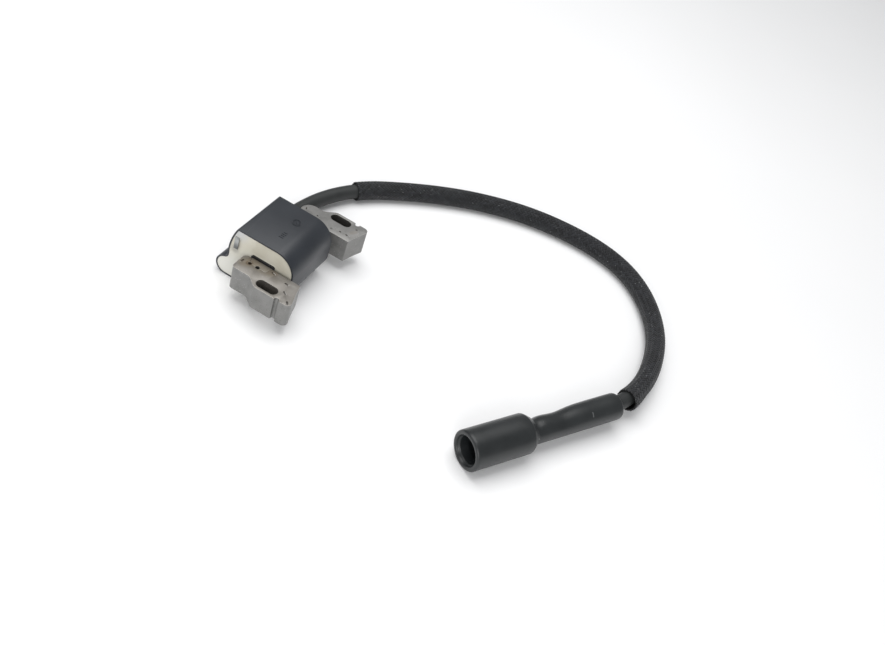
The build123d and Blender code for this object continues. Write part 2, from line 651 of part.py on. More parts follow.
rod_profile = [(rod_s, 0), (rod_s, ROD_R), (ferrule_s, ROD_R), (ferrule_s, 0)]
nodes["terminal_rod"] = turned(rod_profile, boot_plane)
ferrule_profile = [
    (ferrule_s, 0),
    (ferrule_s, ferrule_r),
    (ferrule_end_s, ferrule_r),
    (ferrule_end_s, lead_r),
    (lead_end_s, lead_r),
    (lead_end_s, 0),
]
nodes["lead_ferrule"] = turned(ferrule_profile, boot_plane)

# ---- Write ------------------------------------------------------------------------------------------
print("mouth of the boot:", mouth, "axis:", to_neck)
print("rim, housing end, gland end:", rim_x, housing_end_x, gland_x)
for name, shape in nodes.items():
    shape.label = name
    export_step(shape, f"parts/{name}.step")
print(len(nodes), "nodes")
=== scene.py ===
# %% [markdown]
# # A small engine's ignition coil, with its spark lead and plug boot
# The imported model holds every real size. This file gives each visible piece its finer shape and its
# finish, in the same metres and the same places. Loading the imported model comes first.

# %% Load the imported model
import math
import random

import bmesh
import bpy
from mathutils import Matrix, Vector, geometry, kdtree, noise


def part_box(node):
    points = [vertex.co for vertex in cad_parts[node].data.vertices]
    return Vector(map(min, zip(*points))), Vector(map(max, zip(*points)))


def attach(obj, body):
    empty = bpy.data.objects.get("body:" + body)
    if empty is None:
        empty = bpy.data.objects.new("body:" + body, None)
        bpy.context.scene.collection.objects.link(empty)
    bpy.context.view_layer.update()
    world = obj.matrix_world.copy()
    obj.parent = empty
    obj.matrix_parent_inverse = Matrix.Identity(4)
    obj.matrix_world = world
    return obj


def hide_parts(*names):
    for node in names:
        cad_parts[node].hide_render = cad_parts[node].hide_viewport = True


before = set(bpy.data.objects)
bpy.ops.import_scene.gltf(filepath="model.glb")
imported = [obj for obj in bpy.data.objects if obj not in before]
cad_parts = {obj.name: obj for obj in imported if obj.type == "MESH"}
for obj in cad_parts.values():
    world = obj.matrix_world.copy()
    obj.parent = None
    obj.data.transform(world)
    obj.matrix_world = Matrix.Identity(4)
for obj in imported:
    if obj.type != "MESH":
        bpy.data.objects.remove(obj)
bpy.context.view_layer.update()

MM = 0.001
TURN = 2 * math.pi
COIL, BOOT = "coil", "boot"
scene = bpy.context.scene

# %% [markdown]
# ## Camera
# The view is a long three-quarter look down on the coil from its potted end. The camera is placed, aimed at
# a point on the surface between the coil and the boot, and then rolled about its own line of sight.

# %% Camera
CAMERA_PLACE = Vector((-0.32395, -0.14098, 0.32013))
CAMERA_AIM = Vector((0.01889, -0.06837, 0.0))
CAMERA_ROLL = math.radians(21.99)
CAMERA_LENS = 40.678
CAMERA_SENSOR = 36.0

camera = bpy.data.objects.new("studio_camera", bpy.data.cameras.new("studio_camera"))
scene.collection.objects.link(camera)
aimed = (CAMERA_AIM - CAMERA_PLACE).to_track_quat("-Z", "Y").to_matrix().to_4x4()
camera.matrix_world = Matrix.Translation(CAMERA_PLACE) @ aimed @ Matrix.Rotation(CAMERA_ROLL, 4, "Z")
camera.data.sensor_width = CAMERA_SENSOR
camera.data.lens = CAMERA_LENS
camera.data.clip_start = 0.01
scene.camera = camera
print("camera:", [round(v, 3) for v in camera.location], "lens:", camera.data.lens)

# %% [markdown]
# ## Spark lead
# The lead is one length of rubber-covered ignition wire. It leaves the tower behind the coil, a little
# above the surface, lies on it in its sleeve in a wide loose arc, and rises into the neck of the boot. It
# could be a swept tube, but a NURBS curve with the lead's own route points gives one smooth line, and its
# bevel gives the round section.

# %% Spark lead
LEAD_DIAMETER = 7.5 * MM
CURVE_STEPS = 16
LEAD_ROUTE = [
    (-0.004, 0.0287, -0.0011),
    (0.035, 0.0287, -0.0011),
    (0.0725, 0.0175, -0.0013),
    (0.1015, -0.0125, -0.0015),
    (0.1215, -0.042, -0.0015),
    (0.134, -0.075, -0.0015),
    (0.136, -0.1125, -0.0015),
    (0.124, -0.1395, -0.0015),
    (0.0945, -0.160, -0.0009),
    (0.0575, -0.166, 0.0015),
    (0.031, -0.161, 0.00275),
    (0.015, -0.1507, 0.00275),
]


def link(name, data):
    """A new object in the scene, at the origin."""
    piece = bpy.data.objects.new(name, data)
    scene.collection.objects.link(piece)
    return piece


def lead_curve(name, bevel):
    """The lead's line as one open NURBS spline."""
    data = bpy.data.curves.new(name, "CURVE")
    data.dimensions = "3D"
    spline = data.splines.new("NURBS")
    spline.points.add(len(LEAD_ROUTE) - 1)
    for point, place in zip(spline.points, LEAD_ROUTE):
        point.co = (*place, 1.0)
    spline.order_u = 3
    spline.use_endpoint_u = True
    spline.resolution_u = data.resolution_u = CURVE_STEPS
    data.bevel_depth = bevel
    data.bevel_resolution = 8
    data.use_fill_caps = bevel > 0
    return link(name, data)


lead = lead_curve("ignition_lead", LEAD_DIAMETER / 2)

bare = lead_curve("lead_line", 0)
line_mesh = bpy.data.meshes.new_from_object(bare)
lead_line = [vertex.co.copy() for vertex in line_mesh.vertices]
bpy.data.objects.remove(bare)
run = [0.0]
for here, there in zip(lead_line, lead_line[1:]):
    run.append(run[-1] + (there - here).length)
LEAD_LENGTH = run[-1]
print("lead points:", len(lead_line), "length:", round(LEAD_LENGTH, 4))


def along_lead(distance):
    """The point of the lead's line at a distance from its start."""
    distance = min(max(distance, 0.0), LEAD_LENGTH)
    for index in range(1, len(run)):
        if run[index] >= distance:
            share = (distance - run[index - 1]) / (run[index] - run[index - 1])
            return lead_line[index - 1].lerp(lead_line[index], share)
    return lead_line[-1].copy()


# %% [markdown]
# ## Wiring helpers
# Shader trees and Geometry Nodes trees are both built by adding nodes and linking their sockets. One small
# class does both, so that every tree below reads as a short list of steps.

# %% Wiring helpers
class Wiring:
    """Adds nodes to a tree. An input is fed by another node's socket or by a plain value."""

    def __init__(self, tree):
        self.tree = tree

    def add(self, kind, inputs=None, **settings):
        node = self.tree.nodes.new(kind)
        for key, value in settings.items():
            setattr(node, key, value)
        for key, value in (inputs or {}).items():
            if isinstance(value, bpy.types.NodeSocket):
                self.tree.links.new(value, node.inputs[key])
            else:
                node.inputs[key].default_value = value
        return node

    def out(self, kind, inputs=None, **settings):
        """Adds a node and gives its first output."""
        return self.add(kind, inputs, **settings).outputs[0]

    def math(self, operation, a, b=0.0, c=0.0):
        return self.out("ShaderNodeMath", {0: a, 1: b, 2: c}, operation=operation)

    def vector(self, operation, a, b=(0, 0, 0)):
        return self.out("ShaderNodeVectorMath", {0: a, 1: b}, operation=operation)

    def scaled(self, a, factor):
        return self.out("ShaderNodeVectorMath", {0: a, "Scale": factor}, operation="SCALE")

    def measure(self, operation, a, b):
        """The number that a vector operation gives, such as a distance."""
        return self.add("ShaderNodeVectorMath", {0: a, 1: b}, operation=operation).outputs["Value"]

    def ramp(self, value, low, high, to_low=0.0, to_high=1.0, smooth=False):
        kind = "SMOOTHSTEP" if smooth else "LINEAR"
        places = {"Value": value, "From Min": low, "From Max": high, "To Min": to_low, "To Max": to_high}
        return self.out("ShaderNodeMapRange", places, interpolation_type=kind)

    def mix(self, factor, a, b):
        return self.add("ShaderNodeMix", {0: factor, 6: a, 7: b}, data_type="RGBA").outputs[2]

    def close(self, result):
        """Feeds the tree's output and gives the whole tree."""
        self.tree.links.new(result, self.add("NodeGroupOutput").inputs[0])
        return self.tree


def tree_of(kind, name, inputs, outputs):
    """A new node tree with named sockets: its wiring, and what its inputs give."""
    tree = bpy.data.node_groups.new(name, kind)
    for direction, sockets in (("INPUT", inputs), ("OUTPUT", outputs)):
        for label, socket in sockets.items():
            tree.interface.new_socket(label, in_out=direction, socket_type="NodeSocket" + socket)
    wiring = Wiring(tree)
    return wiring, wiring.add("NodeGroupInput").outputs


def srgb(*channels):
    """A colour as a paint chart gives it, from 0 to 255, turned to linear light."""
    shares = [channel / 255 for channel in channels]
    return (*[c / 12.92 if c <= 0.04045 else ((c + 0.055) / 1.055) ** 2.4 for c in shares], 1.0)


# %% [markdown]
# ## Shared surface effects
# Four effects turn up on many finishes: a slow cloudy change of tone, a fine grain, specks, which are dust on
# most finishes and painted sparkle on the sleeve's yarn, and thin scratches. Each is a shader group with
# named inputs, built once and placed in each material with its own values. They put out only masks and
# heights, so the shader stays in the material.

# %% Shared surface effects
def effect(name, inputs):
    wiring, give = tree_of("ShaderNodeTree", name, inputs, {"Mask": "Float"})
    return wiring, give, wiring.add("ShaderNodeTexCoord").outputs["Object"]


def cloudy_tone():
    wiring, give, place = effect("cloudy tone", {"Scale": "Float", "Contrast": "Float"})
    cloud = wiring.out("ShaderNodeTexNoise", {"Vector": place, "Scale": give["Scale"], "Detail": 4.0})
    centred = wiring.math("SUBTRACT", cloud, 0.5)
    spread = wiring.math("MULTIPLY_ADD", centred, give["Contrast"], 0.5)
    return wiring.close(wiring.out("ShaderNodeClamp", {0: spread}))


def fine_grain():
    wiring, give, place = effect("fine grain", {"Scale": "Float", "Cell Scale": "Float"})
    soft = wiring.out("ShaderNodeTexNoise", {"Vector": place, "Scale": give["Scale"], "Detail": 3.0})
    cells = wiring.out("ShaderNodeTexVoronoi", {"Vector": place, "Scale": give["Cell Scale"]})
    return wiring.close(wiring.math("MULTIPLY_ADD", cells, 0.5, soft))


def dust_and_sparkle_specks():
    wiring, give, place = effect("dust and sparkle specks", {"Scale": "Float", "Share": "Float", "Size": "Float"})
    cells = wiring.add("ShaderNodeTexVoronoi", {"Vector": place, "Scale": give["Scale"]}).outputs
    tone = wiring.out("ShaderNodeSeparateColor", {0: cells["Color"]})
    chosen = wiring.math("LESS_THAN", tone, give["Share"])
    near = wiring.math("LESS_THAN", cells["Distance"], give["Size"])
    return wiring.close(wiring.math("MULTIPLY", chosen, near))


def thin_scratches():
    inputs = {"Scale": "Float", "Stretch": "Vector", "Width": "Float"}
    wiring, give, place = effect("thin scratches", inputs)
    stretched = wiring.vector("DIVIDE", place, give["Stretch"])
    cloud = wiring.out("ShaderNodeTexNoise", {"Vector": stretched, "Scale": give["Scale"], "Detail": 2.0})
    off_middle = wiring.math("ABSOLUTE", wiring.math("SUBTRACT", cloud, 0.5))
    return wiring.close(wiring.math("LESS_THAN", off_middle, give["Width"]))


CLOUDY, GRAIN, SPECKS, SCRATCHES = cloudy_tone(), fine_grain(), dust_and_sparkle_specks(), thin_scratches()
print("effects:", [tree.name for tree in (CLOUDY, GRAIN, SPECKS, SCRATCHES)])


# %% [markdown]
# ## Finishes
# A finish is a pair of close tones, a roughness that wanders with them, and a grain that a Bump node turns
# into relief. Dust and scratches lie over that where a piece has them. One class makes them all, and what
# is special to a piece is added to its own material afterwards.

# %% Finish maker
class Finish:
    """A material in the making: its wiring, its shader, its colour so far and its relief, in millimetres."""

    def __init__(self, name, dark, light, rough, blotch=90.0, contrast=1.6, grain=1600.0, relief=0.02,
                 metallic=0.0):
        self.material = bpy.data.materials.new(name)
        self.material.use_nodes = True
        self.wiring = Wiring(self.material.node_tree)
        self.shader = self.material.node_tree.nodes["Principled BSDF"]
        self.shader.inputs["Metallic"].default_value = metallic
        self.place = self.wiring.add("ShaderNodeTexCoord").outputs["Object"]
        tone = self.effect(CLOUDY, {"Scale": blotch, "Contrast": contrast})
        self.height = self.effect(GRAIN, {"Scale": grain, "Cell Scale": 2.2 * grain})
        self.colour = self.wiring.mix(tone, dark, light)
        self.rough = self.wiring.ramp(tone, 0.0, 1.0, rough[0], rough[1])
        self.relief = relief

    def effect(self, tree, values):
        return self.wiring.out("ShaderNodeGroup", values, node_tree=tree)

    def overlay(self, mask, colour, share, rough=None):
        """Lays another colour, and another roughness, over the finish where the mask is."""
        part = self.wiring.math("MULTIPLY", mask, share)
        self.colour = self.wiring.mix(part, self.colour, colour)
        if rough is not None:
            difference = self.wiring.math("SUBTRACT", rough, self.rough)
            self.rough = self.wiring.math("MULTIPLY_ADD", difference, part, self.rough)

    def specks(self, colour, scale, share, size, strength):
        self.overlay(self.effect(SPECKS, {"Scale": scale, "Share": share, "Size": size}), colour, strength)

    def scratches(self, colour, scale, stretch, width, strength):
        mask = self.effect(SCRATCHES, {"Scale": scale, "Stretch": stretch, "Width": width})
        self.overlay(mask, colour, strength)

    def near(self, centre, inner, outer):
        """A mask that is 1 within a distance of a point and fades out beyond it."""
        away = self.wiring.measure("DISTANCE", self.place, centre)
        return self.wiring.ramp(away, inner, outer, 1.0, 0.0, smooth=True)

    def along(self, start, end, inner, outer):
        """A mask that is 1 close to a straight line between two points and fades out beside it."""
        run = self.wiring.vector("SUBTRACT", self.place, start)
        direction = Vector(end) - Vector(start)
        share = self.wiring.measure("DOT_PRODUCT", run, tuple(direction / direction.length_squared))
        held = self.wiring.out("ShaderNodeClamp", {0: share})
        away = self.wiring.measure("DISTANCE", run, self.wiring.scaled(tuple(direction), held))
        return self.wiring.ramp(away, inner, outer, 1.0, 0.0, smooth=True)

    def marked(self, attribute):
        """A mask that was stored with the piece's own faces or points."""
        return self.wiring.add("ShaderNodeAttribute", attribute_name=attribute).outputs["Fac"]

    def done(self, **values):
        """Links the finish to its shader and returns the material."""
        relief = {"Height": self.height, "Distance": self.relief * MM, "Strength": 1.0}
        normal = self.wiring.out("ShaderNodeBump", relief)
        for socket, source in (("Base Color", self.colour), ("Roughness", self.rough), ("Normal", normal)):
            self.wiring.tree.links.new(source, self.shader.inputs[socket])
        for key, value in values.items():
            self.shader.inputs[key.replace("_", " ")].default_value = value
        return self.material


# %% [markdown]
# ## Steel, plastic and resin
# The core sheets are plain silicon steel with a thin varnish: grey, slightly warm, satin, a little stained
# where the varnish has crept round the joint. The housing is black glass-filled nylon with a bluish sheen.
# The resin is a cream two-part casting, cleaner and whiter where it is thin.

# %% Steel, plastic and resin
TOP_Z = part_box("front_leg_sheets")[1].z
LEG_X = 31.75
BROWN, DARK_BROWN, WARM = srgb(96, 80, 58), srgb(52, 42, 30), srgb(118, 106, 88)


def on_top(x, y):
    """A point on the core's top sheet, from millimetres."""
    return (x * MM, y * MM, TOP_Z)


def at_base(x, y):
    """A point on the core's underside, from millimetres."""
    return (x * MM, y * MM, 0.0)


# Each stain: the two ends of its line, where it starts to fade and where it is gone, colour and strength.
STAINS = [
    (on_top(-22.4, 13.0), on_top(-22.6, 5.0), 1.6 * MM, 5.0 * MM, srgb(112, 104, 86), 0.6),
    (on_top(-21.5, 13.0), on_top(-25.5, 16.5), 0.8 * MM, 4.2 * MM, WARM, 0.7),
    (on_top(-24.7, 14.7), on_top(-24.2, 14.2), 1.15 * MM, 1.7 * MM, BROWN, 0.95),
    (on_top(-21.0, 15.5), on_top(-24.4, 14.3), 0.12 * MM, 0.45 * MM, DARK_BROWN, 0.9),
    (on_top(-20.9, 5.1), on_top(-24.4, 6.2), 0.04 * MM, 0.2 * MM, BROWN, 0.5),
    (on_top(-22.2, 2.4), on_top(-22.8, 4.2), 0.8 * MM, 2.4 * MM, WARM, 0.45),
    (on_top(27.6, -8.5), on_top(29.6, -9.5), 0.4 * MM, 1.6 * MM, WARM, 0.25),
]
# Each opening through the core: the two ends of its middle line, its radius and the colour painted on its
# wall. They are the front leg's slot, the rear leg's slot, the locating hole and the keyhole. The slots and
# the locating hole are painted dark as shade inside them; the keyhole's wall is brown.
WELLS = [
    (at_base(-LEG_X, -3.0), at_base(-LEG_X, 3.0), 2.5 * MM, srgb(80, 74, 67)),
    (at_base(LEG_X, -3.0), at_base(LEG_X, 3.0), 2.5 * MM, srgb(40, 36, 31)),
    (at_base(-24.4, 10.15), at_base(-24.4, 10.25), 0.98 * MM, srgb(8, 8, 7)),
    (at_base(-24.4, 14.25), at_base(-24.4, 14.35), 0.88 * MM, srgb(88, 70, 50)),
]
WALL_FADE = 0.1 * MM


def core_steel(name):
    """Varnished silicon steel: bright along worn edges, painted shade inside the slots and the locating hole,
    painted shade and a painted highlight in the dimples, brown where varnish crept.
    """
    finish = Finish(name, srgb(118, 118, 116), srgb(144, 143, 141), rough=(0.36, 0.5),
                    blotch=170, contrast=1.7, grain=1200, relief=0.01, metallic=0.45)
    finish.specks(srgb(70, 62, 52), scale=900, share=0.05, size=0.2, strength=0.5)
    finish.specks(srgb(186, 186, 184), scale=1300, share=0.12, size=0.24, strength=0.4)
    for start, end, inner, outer, colour, strength in STAINS:
        finish.overlay(finish.along(start, end, inner, outer), colour, strength, rough=0.6)
    object_place = finish.place
    axes = finish.wiring.add("ShaderNodeSeparateXYZ", {0: object_place}).outputs
    top_sheet = finish.wiring.ramp(axes["Z"], TOP_Z - 0.2 * MM, TOP_Z - 0.1 * MM)
    front_leg_most = finish.wiring.ramp(axes["X"], -1 * MM, 1 * MM, 1.0, 0.15)
    warmed = finish.wiring.math("MULTIPLY", top_sheet, front_leg_most)
    finish.overlay(warmed, srgb(126, 117, 105), 0.42)
    finish.place = finish.wiring.vector("MULTIPLY", object_place, (1, 1, 0))
    # Painted shade on the walls of the slots and the locating hole; the keyhole's wall is brown.
    for start, end, radius, colour in WELLS:
        finish.overlay(finish.along(start, end, radius, radius + WALL_FADE), colour, 0.9, rough=0.75)
    finish.place = object_place
    # Painted shade on the deep half and floor of each dimple, and a painted highlight (glint) on its shallow
    # half.
    finish.overlay(finish.marked("dimple_shade"), srgb(62, 54, 44), 0.8, rough=0.5)
    finish.overlay(finish.marked("glint"), srgb(228, 228, 224), 0.9, rough=0.25)
    finish.overlay(finish.marked("worn_edge"), srgb(196, 195, 190), 0.6, rough=0.3)
    return finish.done()


STEEL = core_steel("core steel sheets")

housing_finish = Finish("housing nylon", srgb(30, 34, 40), srgb(40, 44, 50), rough=(0.34, 0.44),
                        blotch=70, contrast=1.5, grain=1800, relief=0.014)
housing_finish.specks(srgb(120, 124, 128), scale=600, share=0.02, size=0.12, strength=0.35)
housing_finish.scratches(srgb(96, 99, 104), scale=60, stretch=(9, 1, 1), width=0.002, strength=0.25)
NYLON = housing_finish.done(Specular_IOR_Level=0.5)

resin_finish = Finish("cast potting resin", srgb(196, 191, 174), srgb(211, 207, 193), rough=(0.28, 0.42),
                      blotch=110, contrast=1.8, grain=700, relief=0.02)
tower_lobe = (-19.4 * MM, 28.7 * MM, -1.1 * MM)
top_corner = (-19.4 * MM, 25.4 * MM, 22.0 * MM)
painted_strip_shadow = (-19.6 * MM, 25.6 * MM, 10.6 * MM)
resin_finish.overlay(resin_finish.near(tower_lobe, 2 * MM, 15 * MM), srgb(220, 220, 214), 0.75)
resin_finish.overlay(resin_finish.near(top_corner, 1.5 * MM, 8.0 * MM), srgb(190, 193, 198), 0.7)
# A painted shadow on the resin below the stop strip.
resin_finish.overlay(resin_finish.near(painted_strip_shadow, 0.5 * MM, 3.2 * MM), srgb(120, 118, 112), 0.55)
resin_finish.specks(srgb(150, 140, 118), scale=380, share=0.03, size=0.12, strength=0.5)
RESIN = resin_finish.done(Coat_Weight=0.25, Coat_Roughness=0.25)
print("finishes so far:", STEEL.name, NYLON.name, RESIN.name)

# %% [markdown]
# ## Rubber, braid and small parts
# The lead's jacket is matte extruded rubber, the boot is moulded in a slightly glossier rubber that has
# picked up dust, and the sleeve is spun yarn. The pieces buried in the resin have their own finishes too,
# because the model comes apart: enamelled wire, tape, circuit board, ferrite, brass and tinned metal.

# %% Rubber, braid and small parts
lead_finish = Finish("lead jacket rubber", srgb(36, 38, 38), srgb(48, 50, 50), rough=(0.45, 0.58),
                     blotch=120, contrast=1.5, grain=1500, relief=0.015)
lead_finish.specks(srgb(128, 130, 130), scale=700, share=0.03, size=0.12, strength=0.35)
LEAD_RUBBER = lead_finish.done(Specular_IOR_Level=0.4)


def wound(name, dark, light, pitch, metallic=0.6):
    """Enamelled wire or tape: a finish with fine parallel turns in its relief, a pitch in mm apart, and
    painted shade in the grooves between the turns.
    """
    finish = Finish(name, dark, light, rough=(0.3, 0.42), metallic=metallic, relief=0.03)
    bands = {"Vector": finish.place, "Scale": 1 / (pitch * MM * TURN), "Distortion": 0.4, "Detail": 0.0}
    turns = finish.wiring.add("ShaderNodeTexWave", bands, bands_direction="X").outputs["Fac"]
    finish.height = turns
    # Painted shade in the grooves between the turns.
    between = tuple(0.4 * c for c in dark[:3]) + (1.0,)
    finish.overlay(finish.wiring.ramp(turns, 0.0, 0.3, 1.0, 0.0), between, 0.8)
    return finish.done()


COPPER = wound("enamelled copper", srgb(150, 72, 36), srgb(190, 104, 58), 0.35)
FINE_COPPER = wound("fine enamelled copper", srgb(160, 84, 46), srgb(186, 110, 66), 0.12)
TAPE = wound("winding tape", srgb(206, 176, 70), srgb(224, 198, 96), 4.0, metallic=0.0)

tinned_finish = Finish("tinned metal", srgb(168, 170, 170), srgb(206, 208, 206), rough=(0.22, 0.42),
                       blotch=300, contrast=2.2, grain=900, relief=0.02, metallic=0.85)
tinned_finish.scratches(srgb(120, 120, 118), scale=300, stretch=(6, 6, 1), width=0.008, strength=0.4)
TINNED = tinned_finish.done()

strip_finish = Finish("tinned stop strip", srgb(128, 130, 130), srgb(168, 170, 169), rough=(0.24, 0.4),
                      blotch=320, contrast=2.4, grain=900, relief=0.03, metallic=0.7)
shaded_strip_foot = (-20.1 * MM, 25.0 * MM, 11.0 * MM)
# Painted shade: the strip is darker towards its foot.
strip_finish.overlay(strip_finish.near(shaded_strip_foot, 1.6 * MM, 5.0 * MM), srgb(74, 75, 74), 0.75)
STRIP = strip_finish.done()

brass_finish = Finish("turned brass", srgb(176, 136, 70), srgb(206, 168, 98), rough=(0.24, 0.38),
                      blotch=250, grain=900, relief=0.01, metallic=0.9)
brass_finish.scratches(srgb(120, 92, 50), scale=260, stretch=(1, 1, 9), width=0.006, strength=0.3)
BRASS = brass_finish.done()

seal_finish = Finish("seal rubber", srgb(24, 25, 26), srgb(38, 39, 40), rough=(0.6, 0.75), relief=0.02)
seal_finish.specks(srgb(110, 110, 108), scale=600, share=0.03, size=0.14, strength=0.4)
SEAL = seal_finish.done()

board_finish = Finish("circuit board", srgb(24, 82, 44), srgb(36, 104, 58), rough=(0.35, 0.5),
                      grain=2500, relief=0.01)
board_finish.scratches(srgb(170, 150, 90), scale=240, stretch=(8, 1, 8), width=0.02, strength=0.5)
BOARD = board_finish.done()

# Each plain finish: dark tone, light tone, roughness, grain, relief in millimetres and share of metal.
PLAIN_FINISHES = {
    "spring steel": ((120, 122, 124), (160, 162, 164), (0.25, 0.35), 1000, 0.008, 0.9),
    "bobbin nylon": ((10, 12, 18), (20, 23, 30), (0.14, 0.26), 1400, 0.015, 0.0),
    "component epoxy": ((22, 22, 24), (36, 36, 38), (0.45, 0.6), 1800, 0.02, 0.0),
    "capacitor lacquer": ((142, 40, 22), (168, 58, 30), (0.25, 0.4), 500, 0.02, 0.0),
    "resistor lacquer": ((190, 160, 118), (208, 180, 140), (0.35, 0.5), 900, 0.015, 0.0),
    "ferrite": ((46, 46, 50), (68, 68, 72), (0.6, 0.8), 2200, 0.03, 0.2),
    "sleeve lining": ((8, 8, 9), (14, 14, 15), (0.75, 0.9), 2400, 0.03, 0.0),
}
PLAIN = {}
for name, (dark, light, rough, grain, relief, metallic) in PLAIN_FINISHES.items():
    finish = Finish(name, srgb(*dark), srgb(*light), rough, grain=grain, relief=relief, metallic=metallic)
    PLAIN[name] = finish.done()

CAD_FINISHES = {
    "potting_compound": RESIN,
    "primary_bobbin": PLAIN["bobbin nylon"],
    "secondary_bobbin": PLAIN["bobbin nylon"],
    "primary_winding": COPPER,
    "secondary_winding": FINE_COPPER,
    "primary_tape": TAPE,
    "circuit_board": BOARD,
    "power_transistor": PLAIN["component epoxy"],
    "capacitor": PLAIN["capacitor lacquer"],
    "resistor": PLAIN["resistor lacquer"],
    "diode": PLAIN["component epoxy"],
    "pickup_core": PLAIN["ferrite"],
    "pickup_winding": FINE_COPPER,
    "primary_wires": COPPER,
    "ground_strap": TINNED,
    "high_tension_contact": BRASS,
    "high_tension_wire": COPPER,
    "plug_terminal": BRASS,
    "terminal_spring": PLAIN["spring steel"],
    "terminal_rod": BRASS,
    "lead_ferrule": BRASS,
}
for node, material in CAD_FINISHES.items():
    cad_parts[node].data.materials.clear()
    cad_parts[node].data.materials.append(material)
print("CAD nodes with their own finish:", len(CAD_FINISHES))


# %% [markdown]
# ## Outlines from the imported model
# The flat sheets and the resin's face are flat shapes with holes. Their outlines are read from the packed
# solids: a copy is cut by a plane, and the cut edges are joined into loops. So the fine pieces always fit.

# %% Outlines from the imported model
def section_loops(node, axis, place):
    """The closed loops of points where a plane across an axis cuts a CAD node."""
    cut = bmesh.new()
    cut.from_mesh(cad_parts[node].data)
    bmesh.ops.remove_doubles(cut, verts=cut.verts, dist=1e-6)
    normal = Vector([float(i == axis) for i in range(3)])
    everything = cut.verts[:] + cut.edges[:] + cut.faces[:]
    made = bmesh.ops.bisect_plane(cut, geom=everything, plane_co=normal * place, plane_no=normal, dist=1e-8)
    edges = {item for item in made["geom_cut"] if isinstance(item, bmesh.types.BMEdge)}
    loops = []
    while edges:
        edge = edges.pop()
        first, here = edge.verts
        loop = [first.co.copy()]
        while here is not first:
            loop.append(here.co.copy())
            step = [e for e in here.link_edges if e in edges]
            if not step:
                break
            edges.remove(step[0])
            here = step[0].other_vert(here)
        if len(loop) > 2:
            loops.append(thinned(loop))
    cut.free()
    return loops


def thinned(loop, nearest=0.02 * MM):
    """The loop without points that nearly coincide or lie on a straight run."""
    kept = []
    for index, here in enumerate(loop):
        before, after = kept[-1] if kept else loop[-1], loop[(index + 1) % len(loop)]
        if (here - before).length < nearest:
            continue
        if abs((here - before).angle(after - here, 0.0)) < 1e-4:
            continue
        kept.append(here)
    return kept


def circle(centre, radius, across, up, steps):
    """Points round a centre, in the plane of two directions."""
    angles = [TURN * i / steps for i in range(steps)]
    return [centre + radius * (math.cos(a) * across + math.sin(a) * up) for a in angles]


def ring(shape, points):
    """The points as new vertices, joined in a closed ring of edges."""
    verts = [shape.verts.new(point) for point in points]
    for a, b in zip(verts, verts[1:] + verts[:1]):
        shape.edges.new((a, b))
    return verts


def ring_edges(shape, verts):
    return [shape.edges.get(pair) for pair in zip(verts, verts[1:] + verts[:1])]


def bridge(shape, low, high):
    """A wall of four-sided faces between two rings with as many points."""
    count = len(low)
    for i in range(count):
        shape.faces.new((low[i], low[(i + 1) % count], high[(i + 1) % count], high[i]))


def keep(shape, name, material, body, smooth_angle=35):
    """Turns a finished shape into a piece that rides on a body."""
    bmesh.ops.recalc_face_normals(shape, faces=shape.faces)
    mesh = bpy.data.meshes.new(name)
    shape.to_mesh(mesh)
    shape.free()
    return dressed(link(name, mesh), material, body, smooth_angle)


def dressed(piece, material, body, smooth_angle=35):
    """Gives a piece its material and its smooth shading, and lets it ride on a body."""
    piece.data.materials.clear()
    piece.data.materials.append(material)
    piece.data.shade_smooth()
    if smooth_angle < 180:
        piece.data.set_sharp_from_angle(angle=math.radians(smooth_angle))
    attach(piece, body)
    return piece


def triangles(piece):
    return sum(len(face.vertices) - 2 for face in piece.data.polygons)


# %% [markdown]
# ## Core sheets
# The core is twenty sheets of steel, punched from strip and locked together by small pressed dimples. One
# sheet is made flat from its outline, with its punched edges a little rounded, and a Geometry Nodes tree
# stacks copies of it with a hair of stagger, as a press leaves them. The top sheet is a second shape with
# the dimples pressed in, each a slanted tongue two or more times as long as it is wide. A solid block would
# never show the lines between the sheets.

# %% One punched sheet
SHEET = 0.635 * MM
SHEET_COUNT = 20
SHEET_TOP = 0.985 * SHEET
STAGGER = 0.02 * MM
EDGE_ROUND = 0.06 * MM
DIMPLE_DEPTH = 0.45 * MM
DIMPLE_TAPER = 0.16
FRONT_DIMPLE = (2.4 * MM, 0.95 * MM)
REAR_DIMPLE = (1.5 * MM, 0.75 * MM)


def dimple_outline(centre, turn, length, width, steps=5):
    """A short slot with round ends, at an angle."""
    points = []
    for end, side in ((0, 1), (1, -1)):
        for step in range(steps + 1):
            angle = math.pi * (end + step / steps) - math.pi / 2
            x = side * (length - width) / 2 + width / 2 * math.cos(angle)
            points.append(Vector((x, width / 2 * math.sin(angle), 0)))
    spin = Matrix.Rotation(math.radians(turn), 3, "Z")
    return [spin @ point + centre for point in points]


